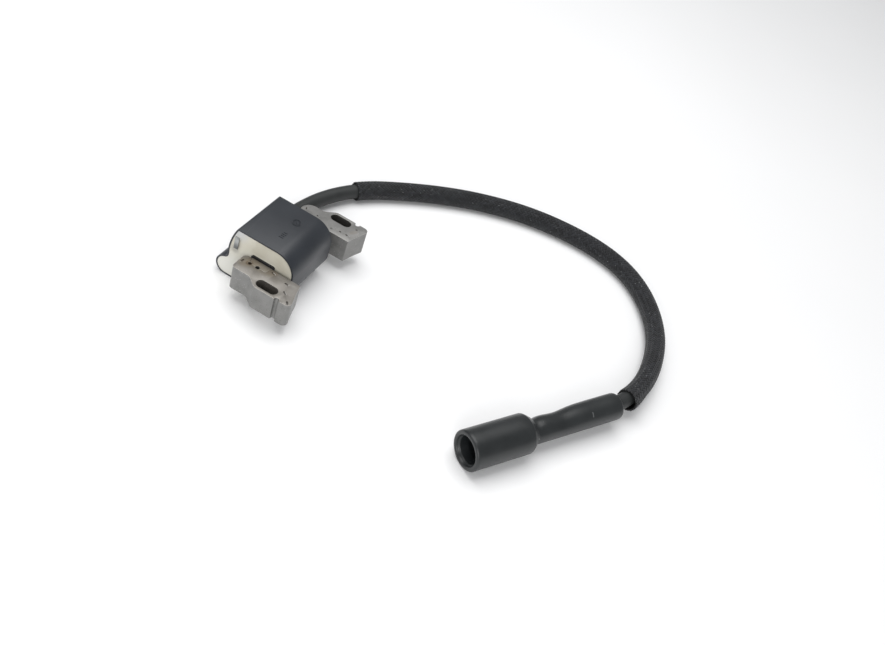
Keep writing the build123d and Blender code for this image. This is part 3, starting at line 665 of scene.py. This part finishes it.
def press_dimple(shape, x, y, turn, size):
    """Presses a slanted tongue into a sheet's top, marks its faces for painted shade on its deep half and
    floor and a painted highlight on its shallow half, and returns the edges of its rim.
    """
    marks = shape.faces.layers.float
    centre = Vector((x * MM, y * MM, 0))
    along = Matrix.Rotation(math.radians(turn), 3, "Z") @ Vector((1, 0, 0))
    rim_points = dimple_outline(centre, turn, *size)
    rim = ring(shape, [point + Vector((0, 0, SHEET_TOP)) for point in rim_points])
    rim_edges = ring_edges(shape, rim)
    foot_points = []
    for point in rim_points:
        slant = 0.5 + (point - centre).dot(along) / size[0]
        depth = DIMPLE_DEPTH * (0.15 + 0.85 * slant)
        foot_points.append(point + (centre - point) * DIMPLE_TAPER + Vector((0, 0, SHEET_TOP - depth)))
    foot = ring(shape, foot_points)
    bridge(shape, rim, foot)
    shape.faces.new(foot)
    for face in {face for vert in foot for face in vert.link_faces}:
        if len(face.verts) > 4:
            face[marks["dimple_shade"]] = 0.75
        elif (face.calc_center_median() - centre).dot(along) > 0:
            face[marks["dimple_shade"]] = 1.0
        else:
            face[marks["glint"]] = 1.0
    return rim_edges


def punched_sheet(name, node, dimples, dimple_size):
    """One sheet of the core, lying on z = 0. Dimples are (x, y, turn) in millimetres and degrees."""
    loops = section_loops(node, 2, TOP_Z / 2)
    shape = bmesh.new()
    for mark in ("dimple_shade", "worn_edge", "glint"):
        shape.faces.layers.float.new(mark)
    top_edges, bottom_edges = [], []
    for loop in loops:
        low = ring(shape, [Vector((p.x, p.y, 0)) for p in loop])
        high = ring(shape, [Vector((p.x, p.y, SHEET_TOP)) for p in loop])
        top_edges += ring_edges(shape, high)
        bottom_edges += ring_edges(shape, low)
        bridge(shape, low, high)
    rims = top_edges + bottom_edges
    for x, y, turn in dimples:
        top_edges += press_dimple(shape, x, y, turn, dimple_size)
    bmesh.ops.triangle_fill(shape, edges=top_edges, use_beauty=True)
    bmesh.ops.triangle_fill(shape, edges=bottom_edges, use_beauty=True)
    bmesh.ops.recalc_face_normals(shape, faces=shape.faces)
    rims = [edge for edge in rims if edge.is_valid]
    rounded = bmesh.ops.bevel(
        shape, geom=rims, offset=EDGE_ROUND, segments=2, affect="EDGES", profile=0.5)
    worn = shape.faces.layers.float["worn_edge"]
    for face in rounded["faces"]:
        face[worn] = 1.0 if dimples else 0.12
    mesh = bpy.data.meshes.new(name)
    shape.to_mesh(mesh)
    shape.free()
    print(name, "outlines:", len(loops), "faces:", len(mesh.polygons))
    return link(name, mesh)


# %% The stacking tree
def stacking_tree():
    inputs = {
        "Geometry": "Geometry", "Top Sheet": "Object", "Sheet Count": "Int", "Sheet Thickness": "Float",
        "Stagger": "Float", "Seed": "Int", "Finish": "Material",
    }
    wiring, give = tree_of("GeometryNodeTree", "stack of punched sheets", inputs, {"Geometry": "Geometry"})
    below = wiring.math("SUBTRACT", give["Sheet Count"], 1)
    rise = wiring.out("ShaderNodeCombineXYZ", {"Z": give["Sheet Thickness"]})
    places = wiring.out("GeometryNodeMeshLine", {"Count": below, "Offset": rise}, mode="OFFSET")
    limits = {0: (-1, -1, 0), 1: (1, 1, 0), "Seed": give["Seed"]}
    shake = wiring.out("FunctionNodeRandomValue", limits, data_type="FLOAT_VECTOR")
    shift = wiring.scaled(shake, give["Stagger"])
    moved = wiring.out("GeometryNodeSetPosition", {"Geometry": places, "Offset": shift})
    sheets = wiring.out("GeometryNodeInstanceOnPoints", {"Points": moved, "Instance": give["Geometry"]})
    top = wiring.add("GeometryNodeObjectInfo", {"Object": give["Top Sheet"]}).outputs["Geometry"]
    lifted = {"Geometry": top, "Translation": wiring.scaled(rise, below)}
    top = wiring.out("GeometryNodeTransform", lifted)
    join = wiring.add("GeometryNodeJoinGeometry")
    wiring.tree.links.new(sheets, join.inputs[0])
    wiring.tree.links.new(top, join.inputs[0])
    real = wiring.out("GeometryNodeRealizeInstances", {"Geometry": join.outputs[0]})
    return wiring.close(wiring.out("GeometryNodeSetMaterial", {"Geometry": real, "Material": give["Finish"]}))


def grown(name, tree, source, values):
    """Runs a Geometry Nodes tree on a source object and keeps the result as a plain mesh."""
    modifier = source.modifiers.new("grow", "NODES")
    modifier.node_group = tree
    for item in tree.interface.items_tree:
        if item.in_out == "INPUT" and item.name in values:
            modifier[item.identifier] = values[item.name]
    graph = bpy.context.evaluated_depsgraph_get()
    mesh = bpy.data.meshes.new_from_object(
        source.evaluated_get(graph), preserve_all_data_layers=True, depsgraph=graph)
    source.modifiers.remove(modifier)
    mesh.name = name
    return link(name, mesh)


def drop(*objects):
    for thing in objects:
        bpy.data.objects.remove(thing)


STACK = stacking_tree()

# %% Stack the two parts of the core
FRONT_DIMPLES = [
    (-25.3, 17.8, -8), (-22.6, 2.7, 78), (-24.2, -5.4, 84), (-29.4, -7.8, 62), (-33.9, -12.0, 40),
]
REAR_DIMPLES = [
    (27.0, 17.0, 30), (26.3, 9.9, 80), (23.4, 0.2, 95), (24.4, -4.1, 85), (24.5, -7.6, 80), (31.4, -9.4, 100),
]
for name, node, dimples, dimple_size, seed in (
    ("front_leg_laminations", "front_leg_sheets", FRONT_DIMPLES, FRONT_DIMPLE, 3),
    ("rear_leg_laminations", "rear_leg_and_bar_sheets", REAR_DIMPLES, REAR_DIMPLE, 8),
):
    plain = punched_sheet(name + "_sheet", node, [], dimple_size)
    top = punched_sheet(name + "_top", node, dimples, dimple_size)
    stack = grown(name, STACK, plain, {
        "Top Sheet": top, "Sheet Count": SHEET_COUNT, "Sheet Thickness": SHEET, "Stagger": STAGGER,
        "Seed": seed, "Finish": STEEL,
    })
    drop(plain, top)
    dressed(stack, STEEL, COIL)
    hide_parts(node)
    print(name, "triangles:", triangles(stack))

# %% [markdown]
# ## Housing, seal and kill terminal
# The housing is moulded, so none of its edges is sharp. A merged copy of its CAD solid, with its flat
# triangles joined into whole faces, takes a small bevel all round. The seal in the gland and the folded
# strip of the kill terminal are softened the same way.

# %% Softened copies
def softened(name, node, width, material):
    """A copy of a CAD node with its sharp edges rounded."""
    shape = bmesh.new()
    shape.from_mesh(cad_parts[node].data)
    bmesh.ops.remove_doubles(shape, verts=shape.verts, dist=1e-6)
    bmesh.ops.dissolve_limit(shape, angle_limit=math.radians(0.6), verts=shape.verts, edges=shape.edges)
    mesh = bpy.data.meshes.new(name)
    shape.to_mesh(mesh)
    shape.free()
    piece = link(name, mesh)
    bevel = piece.modifiers.new("soft edges", "BEVEL")
    bevel.width = width
    bevel.segments = 3
    bevel.limit_method = "ANGLE"
    bevel.angle_limit = math.radians(32)
    bevel.use_clamp_overlap = True
    graph = bpy.context.evaluated_depsgraph_get()
    piece.data = bpy.data.meshes.new_from_object(piece.evaluated_get(graph), depsgraph=graph)
    piece.modifiers.clear()
    dressed(piece, material, COIL, 30)
    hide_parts(node)
    print(name, "faces:", len(piece.data.polygons))


softened("coil_housing", "housing_shell", 0.22 * MM, NYLON)
softened("gland_seal", "lead_seal", 0.12 * MM, SEAL)
softened("kill_terminal_strip", "kill_terminal", 0.1 * MM, STRIP)

# %% [markdown]
# ## Generic mould marks
# Moulded housings carry small raised marks. These are generic ones of our own: a moulder's dial, which is a
# ring with twelve pips and a pointer, and a row of four plain bars. All have slanted sides, as a mould
# needs, and a short loop sets the pips round the dial.

# %% Mould marks
MARK_HEIGHT = 0.22 * MM
roof_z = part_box("housing_shell")[1].z


def mark_block(shape, centre, size, turn=0.0):
    """A raised bar with slanted sides, set into the roof."""
    spin = Matrix.Rotation(turn, 3, "Z")
    low, high = [], []
    for sx, sy in ((-1, -1), (1, -1), (1, 1), (-1, 1)):
        for points, share, z in ((low, 1.0, -MARK_HEIGHT), (high, 0.72, MARK_HEIGHT)):
            flat = spin @ Vector((sx * size[0] / 2 * share, sy * size[1] / 2 * share, 0))
            points.append(shape.verts.new((centre[0] + flat.x, centre[1] + flat.y, roof_z + z)))
    bridge(shape, low, high)
    shape.faces.new(low)
    shape.faces.new(high)


def dial_ring(shape, centre, outer, inner):
    """A raised ring with slanted sides, set into the roof."""
    rings = []
    for radius, z in ((outer, -1.0), (outer * 0.98, 1.0), (inner * 1.02, 1.0), (inner, -1.0)):
        middle = Vector((*centre, roof_z + z * MARK_HEIGHT))
        places = circle(middle, radius, Vector((1, 0, 0)), Vector((0, 1, 0)), 40)
        rings.append([shape.verts.new(place) for place in places])
    for a, b in zip(rings, rings[1:] + rings[:1]):
        bridge(shape, a, b)


marks = bmesh.new()
DIAL = (3.2 * MM, 9.4 * MM)
PIPS, PIP_RADIUS, PIP_SIZE = 12, 1.45 * MM, (0.3 * MM, 0.3 * MM)
dial_ring(marks, DIAL, 2.3 * MM, 1.9 * MM)
for pip in range(PIPS):
    angle = TURN * pip / PIPS
    place = (DIAL[0] + PIP_RADIUS * math.cos(angle), DIAL[1] + PIP_RADIUS * math.sin(angle))
    mark_block(marks, place, PIP_SIZE, angle)
mark_block(marks, DIAL, (1.3 * MM, 0.3 * MM), 0.9)
for bar in range(4):
    mark_block(marks, ((-10.4 + 1.25 * bar) * MM, 9.0 * MM), (0.5 * MM, (2.8 - 0.5 * (bar % 2)) * MM))
mould_marks = keep(marks, "mould_marks", NYLON, COIL)

# %% [markdown]
# ## Resin face
# The resin is poured with the housing's open end up. It wets the wall, the bobbin and the strip, and sets
# with a small upward curve against each of them. The face is filled with small triangles inside its own
# outline, and each point is lifted by how near it is to an edge.

# %% Resin face
FACE_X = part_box("potting_compound")[0].x
FACE_STEP = 0.5 * MM
SCATTER = 0.1
CREEP = 0.24 * MM
CREEP_REACH = 0.75 * MM


def nearest_tree(points):
    tree = kdtree.KDTree(len(points))
    for index, p in enumerate(points):
        tree.insert((p.x, p.y, 0), index)
    tree.balance()
    return tree


def face_points(loops):
    """The outline's points and edges in (y, z), a face step apart, and then points scattered within."""
    rim, edges = [], []
    for loop in loops:
        dense = []
        for a, b in zip(loop, loop[1:] + loop[:1]):
            parts = max(1, math.ceil((b - a).length / FACE_STEP))
            dense += [a.lerp(b, i / parts) for i in range(parts)]
        first = len(rim)
        rim += [Vector((p.y, p.z)) for p in dense]
        edges += [(first + i, first + (i + 1) % len(dense)) for i in range(len(dense))]
    rng = random.Random(5)
    scattered = []
    y = min(p.x for p in rim)
    while y < max(p.x for p in rim):
        z = min(p.y for p in rim)
        while z < max(p.y for p in rim):
            moved = (y + rng.uniform(-SCATTER, SCATTER) * MM, z + rng.uniform(-SCATTER, SCATTER) * MM)
            scattered.append(Vector(moved))
            z += FACE_STEP
        y += FACE_STEP
    return rim, edges, scattered


def resin_face():
    loops = section_loops("potting_compound", 0, FACE_X + 0.05 * MM)
    loops = [loop for loop in loops if len(loop) > 3]
    rim, edges, scattered = face_points(loops)
    verts, _, faces = geometry.delaunay_2d_cdt(rim + scattered, edges, [], 0, 1e-7)[:3]
    tree = nearest_tree(rim)
    inside = [face for face in faces if in_region(sum((verts[i] for i in face), Vector((0, 0))) / 3, loops)]
    shape = bmesh.new()
    front, back = {}, {}
    for index in sorted({i for face in inside for i in face}):
        p = verts[index]
        away = tree.find((p.x, p.y, 0))[2]
        wave = 0.02 * MM * noise.noise(Vector((p.x, p.y, 0)) * 260)
        rise = 0.04 * MM + CREEP * math.exp(-away / CREEP_REACH) + wave
        front[index] = shape.verts.new((FACE_X - rise, p.x, p.y))
        back[index] = shape.verts.new((FACE_X + 0.2 * MM, p.x, p.y))
    for face in inside:
        shape.faces.new([front[i] for i in face])
        shape.faces.new([back[i] for i in reversed(face)])
    for edge in [edge for edge in shape.edges if edge.is_boundary]:
        if all(vert.co.x < FACE_X for vert in edge.verts):
            a, b = [index for vert in edge.verts for index in front if front[index] is vert]
            shape.faces.new((front[a], front[b], back[b], back[a]))
    print("resin face: loops", len(loops), "triangles", len(inside))
    return shape


def in_region(point, loops):
    """True where the point is inside an odd number of loops."""
    inside = False
    for loop in loops:
        for a, b in zip(loop, loop[1:] + loop[:1]):
            if (a.z > point.y) != (b.z > point.y):
                if point.x < a.y + (point.y - a.z) * (b.y - a.y) / (b.z - a.z):
                    inside = not inside
    return inside


resin = keep(resin_face(), "resin_meniscus", RESIN, COIL, 60)

# %% [markdown]
# ## Boot
# The boot is moulded rubber: a thick barrel over the plug and a soft neck over the lead. It is round, so
# its shape is a profile turned about the lead's last run. Where the neck is thin, each ring's centre sinks
# a little, so that the underside stays nearly straight and the upper side dips, and each ring is very
# slightly oval. A plain lathe would leave it too even for pulled rubber.

# %% Boot finish
LEAD_TO_MOUTH = 72.0 * MM
SCUFF_PLACE = 66.0 * MM
SCUFF_HALF_TURN = math.radians(9)
NECK_FULL = 6.4
lead_end = Vector(LEAD_ROUTE[-1])
to_neck = (Vector(LEAD_ROUTE[-2]) - lead_end).normalized()
boot_mouth = lead_end - to_neck * LEAD_TO_MOUTH


def on_neck(turn):
    """A point on the neck's upper front, turned a little round it."""
    front = Vector((-0.72, -0.15, 0.67))
    front = (front - to_neck * front.dot(to_neck)).normalized()
    out = math.cos(turn) * front + math.sin(turn) * to_neck.cross(front)
    return tuple(boot_mouth + to_neck * SCUFF_PLACE + NECK_FULL * MM * out)


boot_finish = Finish("boot rubber", srgb(24, 27, 28), srgb(36, 39, 40), rough=(0.28, 0.44),
                     contrast=1.8, grain=1300, relief=0.012)
boot_finish.specks(srgb(176, 178, 176), scale=260, share=0.07, size=0.1, strength=0.8)
boot_finish.specks(srgb(120, 122, 122), scale=700, share=0.04, size=0.13, strength=0.4)
scuff = boot_finish.along(on_neck(-SCUFF_HALF_TURN), on_neck(SCUFF_HALF_TURN), 0.05 * MM, 0.35 * MM)
boot_finish.overlay(scuff, srgb(132, 134, 134), 0.6)
BOOT_RUBBER = boot_finish.done(Specular_IOR_Level=0.5)

# %% Boot
BOOT_OUTSIDE = [
    (0.0, 8.35), (0.12, 8.75), (0.45, 9.08), (1.0, 9.24), (1.8, 9.25), (5.0, 9.25), (10.0, 9.25),
    (16.0, 9.25), (22.0, 9.25), (27.0, 9.25), (30.7, 9.25), (31.0, 9.17), (31.25, 9.0), (32.3, 8.35),
    (33.3, 7.6), (33.9, 7.1), (34.3, 6.6), (34.6, 6.05), (35.1, 5.72), (36.0, 5.72), (37.4, 5.86),
    (39.2, 6.02), (41.0, 6.08), (43.5, 6.0), (46.0, 5.86), (48.5, 5.78), (51.0, 5.82), (54.0, 6.0),
    (57.0, 6.2), (60.0, 6.34), (63.0, 6.4), (68.0, 6.41), (74.0, 6.4), (80.0, 6.4), (83.4, 6.39),
    (84.0, 6.3), (84.5, 6.05), (84.8, 5.7), (84.95, 5.25), (85.0, 4.75),
]
BOOT_INSIDE = [
    (84.95, 4.2), (84.8, 3.95), (84.4, 3.86), (79.3, 3.86), (79.3, 4.55), (70.2, 4.55), (70.2, 1.9),
    (35.3, 1.9), (35.3, 4.35), (22.0, 4.35), (22.0, 6.2), (12.0, 6.2), (6.6, 6.2), (6.2, 6.05),
    (5.6, 6.05), (5.2, 6.2), (1.9, 6.2), (1.5, 6.35), (1.25, 6.75), (0.75, 6.95), (0.35, 7.1),
    (0.12, 7.3), (0.0, 7.6),
]
NECK_START, NECK_END = 33.6, 75.0
NECK_DROP = 0.85
OVAL_START, OVAL_END, OVAL_SHARE, OVAL_TWIST = 35.0, 66.0, 0.01, 0.21
BOOT_STEPS = 96


def wander(s, r):
    """How far a ring's centre sinks, in millimetres, so that the neck's underside stays nearly straight."""
    fade = min(max((s - NECK_START) / 2.0, 0.0), 1.0)
    return -NECK_DROP * fade * (NECK_FULL - r) if s < NECK_END else 0.0


across = Vector((0.388, 0.604, 0.696))
across = (across - to_neck * across.dot(to_neck)).normalized()
beside = to_neck.cross(across)
boot_shape = bmesh.new()
boot_rings = []
for profile, outside in ((BOOT_OUTSIDE, True), (BOOT_INSIDE, False)):
    for s, r in profile:
        shift = wander(s, r) * MM if outside else 0.0
        centre = boot_mouth + to_neck * (s * MM) + across * shift
        verts = []
        for step in range(BOOT_STEPS):
            angle = TURN * step / BOOT_STEPS
            radius = r * MM
            if outside and OVAL_START < s < OVAL_END:
                radius *= 1 + OVAL_SHARE * math.sin(2 * angle + s * OVAL_TWIST)
            out = math.cos(angle) * beside + math.sin(angle) * across
            verts.append(boot_shape.verts.new(centre + radius * out))
        boot_rings.append(verts)
for a, b in zip(boot_rings, boot_rings[1:] + boot_rings[:1]):
    bridge(boot_shape, a, b)
boot = keep(boot_shape, "plug_boot_rubber", BOOT_RUBBER, BOOT, 55)
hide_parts("plug_boot")
print("boot faces:", len(boot.data.polygons))

# %% [markdown]
# ## Sleeve
# A braided sleeve guards the lead. It is real yarn: two sets of strands wind round opposite ways, each
# passing over two of the other set and under two. The tree draws every strand along the lead's own line:
# its angle turns with the distance, and its height swings as it crosses the others. Bump alone would leave
# the outline smooth.

# %% Sleeve finishes
yarn = Finish("sleeve yarn", srgb(9, 9, 11), srgb(18, 19, 21), rough=(0.42, 0.7),
              blotch=110, contrast=1.8, grain=2600, relief=0.03)
yarn.overlay(yarn.marked("yarn_tone"), srgb(52, 54, 58), 0.6)
# Pale specks painted on the yarn as sparkle highlights.
yarn.specks(srgb(150, 152, 152), scale=900, share=0.09, size=0.22, strength=0.6)
YARN = yarn.done(Specular_IOR_Level=0.3, Sheen_Weight=0.12, Sheen_Roughness=0.5)
FRAY = Finish("frayed yarn ends", srgb(120, 122, 122), srgb(190, 190, 188), rough=(0.6, 0.8),
              blotch=900, grain=2400, relief=0.01).done()

# %% The braiding tree
SLEEVE_START = 81.0 * MM
SLEEVE_TAIL = 21.6 * MM
SLEEVE_STEPS = 180
TAIL_FROM = 0.955
TAIL_SHIFT = (-0.13 * MM, -0.66 * MM, -0.3 * MM)
FLARE = 0.13
sleeve_length = LEAD_LENGTH - SLEEVE_TAIL - SLEEVE_START
sleeve_line = [along_lead(SLEEVE_START + sleeve_length * i / SLEEVE_STEPS) for i in range(SLEEVE_STEPS + 1)]


def braiding_tree():
    inputs = {
        "Geometry": "Geometry", "Strands": "Int", "Steps": "Int", "Turns": "Float", "Radius": "Float",
        "Swing": "Float", "Strand Width": "Float", "Strand Height": "Float", "Flare": "Float",
        "Tail Shift": "Vector", "Seed": "Int", "Finish": "Material",
    }
    wiring, give = tree_of("GeometryNodeTree", "braided sleeve", inputs, {"Geometry": "Geometry"})
    path = wiring.out("GeometryNodeMeshToCurve", {0: give["Geometry"]})
    strand = wiring.out("GeometryNodeCurvePrimitiveLine")
    strand = wiring.out("GeometryNodeResampleCurve", {"Curve": strand, "Count": give["Steps"]})
    seats = wiring.out("GeometryNodePoints", {"Count": wiring.math("MULTIPLY", give["Strands"], 2)})
    copies = wiring.out("GeometryNodeInstanceOnPoints", {"Points": seats, "Instance": strand})
    strands = wiring.out("GeometryNodeRealizeInstances", {"Geometry": copies})

    index = wiring.out("GeometryNodeInputIndex")
    share = wiring.add("GeometryNodeSplineParameter").outputs["Factor"]
    number = wiring.math("FLOOR", wiring.math("DIVIDE", wiring.math("ADD", index, 0.5), give["Steps"]))
    set_two = wiring.math("GREATER_THAN", number, wiring.math("SUBTRACT", give["Strands"], 0.5))
    hand = wiring.math("MULTIPLY_ADD", set_two, -2.0, 1.0)
    turned = wiring.math("MULTIPLY", wiring.math("MULTIPLY", give["Turns"], share), hand)
    seat_angle = wiring.math("DIVIDE", number, give["Strands"])
    angle = wiring.math("MULTIPLY", wiring.math("ADD", seat_angle, turned), TURN)
    crossings = wiring.math("MULTIPLY_ADD", turned, give["Strands"], number)
    swing = wiring.math("SINE", wiring.math("MULTIPLY_ADD", crossings, math.pi, math.pi / 4))
    lift = wiring.math("MULTIPLY", wiring.math("MULTIPLY", swing, give["Swing"]), hand)

    at = wiring.add("GeometryNodeSampleCurve", {"Curves": path, "Factor": share}, mode="FACTOR").outputs
    side = wiring.vector("NORMALIZE", wiring.vector("CROSS_PRODUCT", at["Tangent"], (0, 0, 1)))
    up = wiring.vector("CROSS_PRODUCT", side, at["Tangent"])
    sideways = wiring.scaled(side, wiring.math("COSINE", angle))
    out = wiring.vector("ADD", sideways, wiring.scaled(up, wiring.math("SINE", angle)))
    tail = wiring.ramp(share, TAIL_FROM, 1.0, smooth=True)
    spread = wiring.math("MULTIPLY_ADD", tail, give["Flare"], 1.0)
    radius = wiring.math("MULTIPLY", wiring.math("ADD", give["Radius"], lift), spread)
    place = wiring.vector("ADD", at["Position"], wiring.scaled(out, radius))
    place = wiring.vector("ADD", place, wiring.scaled(give["Tail Shift"], tail))
    set_place = wiring.out("GeometryNodeSetPosition", {"Geometry": strands, "Position": place})
    upright = wiring.out("GeometryNodeSetCurveNormal", {"Curve": set_place, "Normal": out}, mode="FREE")

    limits = {2: 0.0, 3: 1.0, "ID": number, "Seed": give["Seed"]}
    tone = wiring.add("FunctionNodeRandomValue", limits, data_type="FLOAT").outputs[1]
    stored = {"Geometry": upright, "Name": "yarn_tone", "Value": tone}
    toned = wiring.out("GeometryNodeStoreNamedAttribute", stored, data_type="FLOAT", domain="POINT")
    section = {"Width": give["Strand Height"], "Height": give["Strand Width"]}
    section = wiring.out("GeometryNodeCurvePrimitiveQuadrilateral", section, mode="RECTANGLE")
    swept = {"Curve": toned, "Profile Curve": section, "Fill Caps": True}
    strip = wiring.out("GeometryNodeCurveToMesh", swept)
    smooth = wiring.out("GeometryNodeSetShadeSmooth", {"Geometry": strip})
    real = wiring.out("GeometryNodeRealizeInstances", {"Geometry": smooth})
    return wiring.close(wiring.out("GeometryNodeSetMaterial", {"Geometry": real, "Material": give["Finish"]}))


def line_object(name, points):
    """An object that is only a line of points, for a tree to follow."""
    mesh = bpy.data.meshes.new(name)
    mesh.from_pydata([tuple(p) for p in points], [(i, i + 1) for i in range(len(points) - 1)], [])
    return link(name, mesh)


sleeve_source = line_object("sleeve_line", sleeve_line)
sleeve = grown("sleeve_braid", braiding_tree(), sleeve_source, {
    "Strands": 22, "Steps": 480, "Turns": 6.4, "Radius": 4.62 * MM, "Swing": 0.17 * MM,
    "Strand Width": 0.95 * MM, "Strand Height": 0.38 * MM, "Flare": FLARE, "Tail Shift": TAIL_SHIFT,
    "Seed": 4, "Finish": YARN,
})
drop(sleeve_source)
dressed(sleeve, YARN, COIL, 180)
print("sleeve length:", round(sleeve_length, 4), "triangles:", triangles(sleeve))

# %% Sleeve lining
LINING_OUTSIDE, LINING_INSIDE, LINING_STEPS = 4.5 * MM, 4.12 * MM, 48


def sleeve_frame(index):
    """The sleeve's centre at a step, its three directions, and how far the tail's flare has come."""
    before, after = sleeve_line[max(index - 1, 0)], sleeve_line[min(index + 1, SLEEVE_STEPS)]
    tangent = (after - before).normalized()
    side = tangent.cross(Vector((0, 0, 1))).normalized()
    t = min(max((index / SLEEVE_STEPS - TAIL_FROM) / (1 - TAIL_FROM), 0.0), 1.0)
    tail = t * t * (3 - 2 * t)
    return sleeve_line[index] + Vector(TAIL_SHIFT) * tail, tangent, side, side.cross(tangent), tail


lining_shape = bmesh.new()
lining_rings = {}
for index in range(SLEEVE_STEPS + 1):
    here, _, side, up, tail = sleeve_frame(index)
    for layer, radius in ((0, LINING_OUTSIDE), (1, LINING_INSIDE)):
        places = circle(here, radius * (1 + FLARE * tail), side, up, LINING_STEPS)
        lining_rings[layer, index] = [lining_shape.verts.new(place) for place in places]
for layer in (0, 1):
    for index in range(SLEEVE_STEPS):
        bridge(lining_shape, lining_rings[layer, index], lining_rings[layer, index + 1])
for index in (0, SLEEVE_STEPS):
    bridge(lining_shape, lining_rings[0, index], lining_rings[1, index])
lining = keep(lining_shape, "sleeve_lining", PLAIN["sleeve lining"], COIL, 60)

# %% Frayed ends
FIBRE = 0.05 * MM
rng = random.Random(11)
fray_shape = bmesh.new()
for index, outward, count in ((0, -1, 70), (SLEEVE_STEPS, 1, 90)):
    here, tangent, side, up, tail = sleeve_frame(index)
    for _ in range(count):
        a = rng.uniform(0, TURN)
        out = math.cos(a) * side + math.sin(a) * up
        far = rng.uniform(4.5, 4.85) * MM * (1 + FLARE * tail)
        root = here + out * far - tangent * outward * 0.4 * MM
        aim = tangent * outward + out * rng.uniform(-0.35, 0.1)
        aim = (aim + up * rng.uniform(-0.3, 0.3) + side * rng.uniform(-0.3, 0.3)).normalized()
        tip = root + aim * (rng.uniform(0.5, 1.1) * MM)
        base = [fray_shape.verts.new(p) for p in circle(root, FIBRE, out, aim.cross(out).normalized(), 3)]
        end = fray_shape.verts.new(tip)
        for i in range(3):
            fray_shape.faces.new((base[i], base[(i + 1) % 3], end))
        fray_shape.faces.new(base)
frays = keep(fray_shape, "sleeve_frays", FRAY, COIL, 180)

for piece in (sleeve, lining):
    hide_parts("loom_sleeve")

# %% [markdown]
# The lead carries the sleeve and ends in the boot with its terminal. Here it gets its rubber finish and rides
# on the coil, and the imported jacket and conductor are hidden.

lead.data.materials.append(LEAD_RUBBER)
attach(lead, COIL)
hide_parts("lead_jacket", "lead_conductor")

# %% [markdown]
# ## Studio
# A plain pale floor under the housing and soft light from large panels, with a pale surround that fills the
# shadows and gives the dark plastics something to reflect.

# %% Studio
FLOOR_REACH = 4.0
LIT_POINT = Vector((0.03, -0.06, 0))
PANELS = (
    ("overhead_panel", (0.15, 0.1, 0.85), 0.8, 6.2),
    ("left_panel", (-0.5, 0.65, 0.55), 0.5, 1.1),
    ("front_panel", (-0.7, -0.35, 0.35), 0.45, 2.6),
)
floor_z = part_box("housing_shell")[0].z - 0.05 * MM
floor_shape = bmesh.new()
corners = [(x * FLOOR_REACH, y * FLOOR_REACH, floor_z) for x, y in ((-1, -1), (1, -1), (1, 1), (-1, 1))]
floor_shape.faces.new([floor_shape.verts.new(corner) for corner in corners])
floor_mesh = bpy.data.meshes.new("studio_floor")
floor_shape.to_mesh(floor_mesh)
floor_shape.free()
paper = Finish("studio paper", srgb(244, 244, 244), srgb(248, 248, 248), rough=(0.8, 0.9),
               blotch=4, grain=400, relief=0.01)
floor_mesh.materials.append(paper.done())
link("studio_floor", floor_mesh)

for name, place, size, power in PANELS:
    light = bpy.data.lights.new(name, "AREA")
    light.shape, light.size, light.energy = "SQUARE", size, power
    lamp = link(name, light)
    lamp.location = place
    lamp.rotation_euler = (LIT_POINT - Vector(place)).to_track_quat("-Z", "Y").to_euler()

world = bpy.data.worlds.new("pale surround")
scene.world = world
world.use_nodes = True
surround = world.node_tree.nodes["Background"].inputs
surround["Color"].default_value = (0.95, 0.96, 0.98, 1)
surround["Strength"].default_value = 0.42
scene.view_settings.view_transform = "Standard"
print("floor at", round(floor_z, 5), "lights:", len(PANELS))
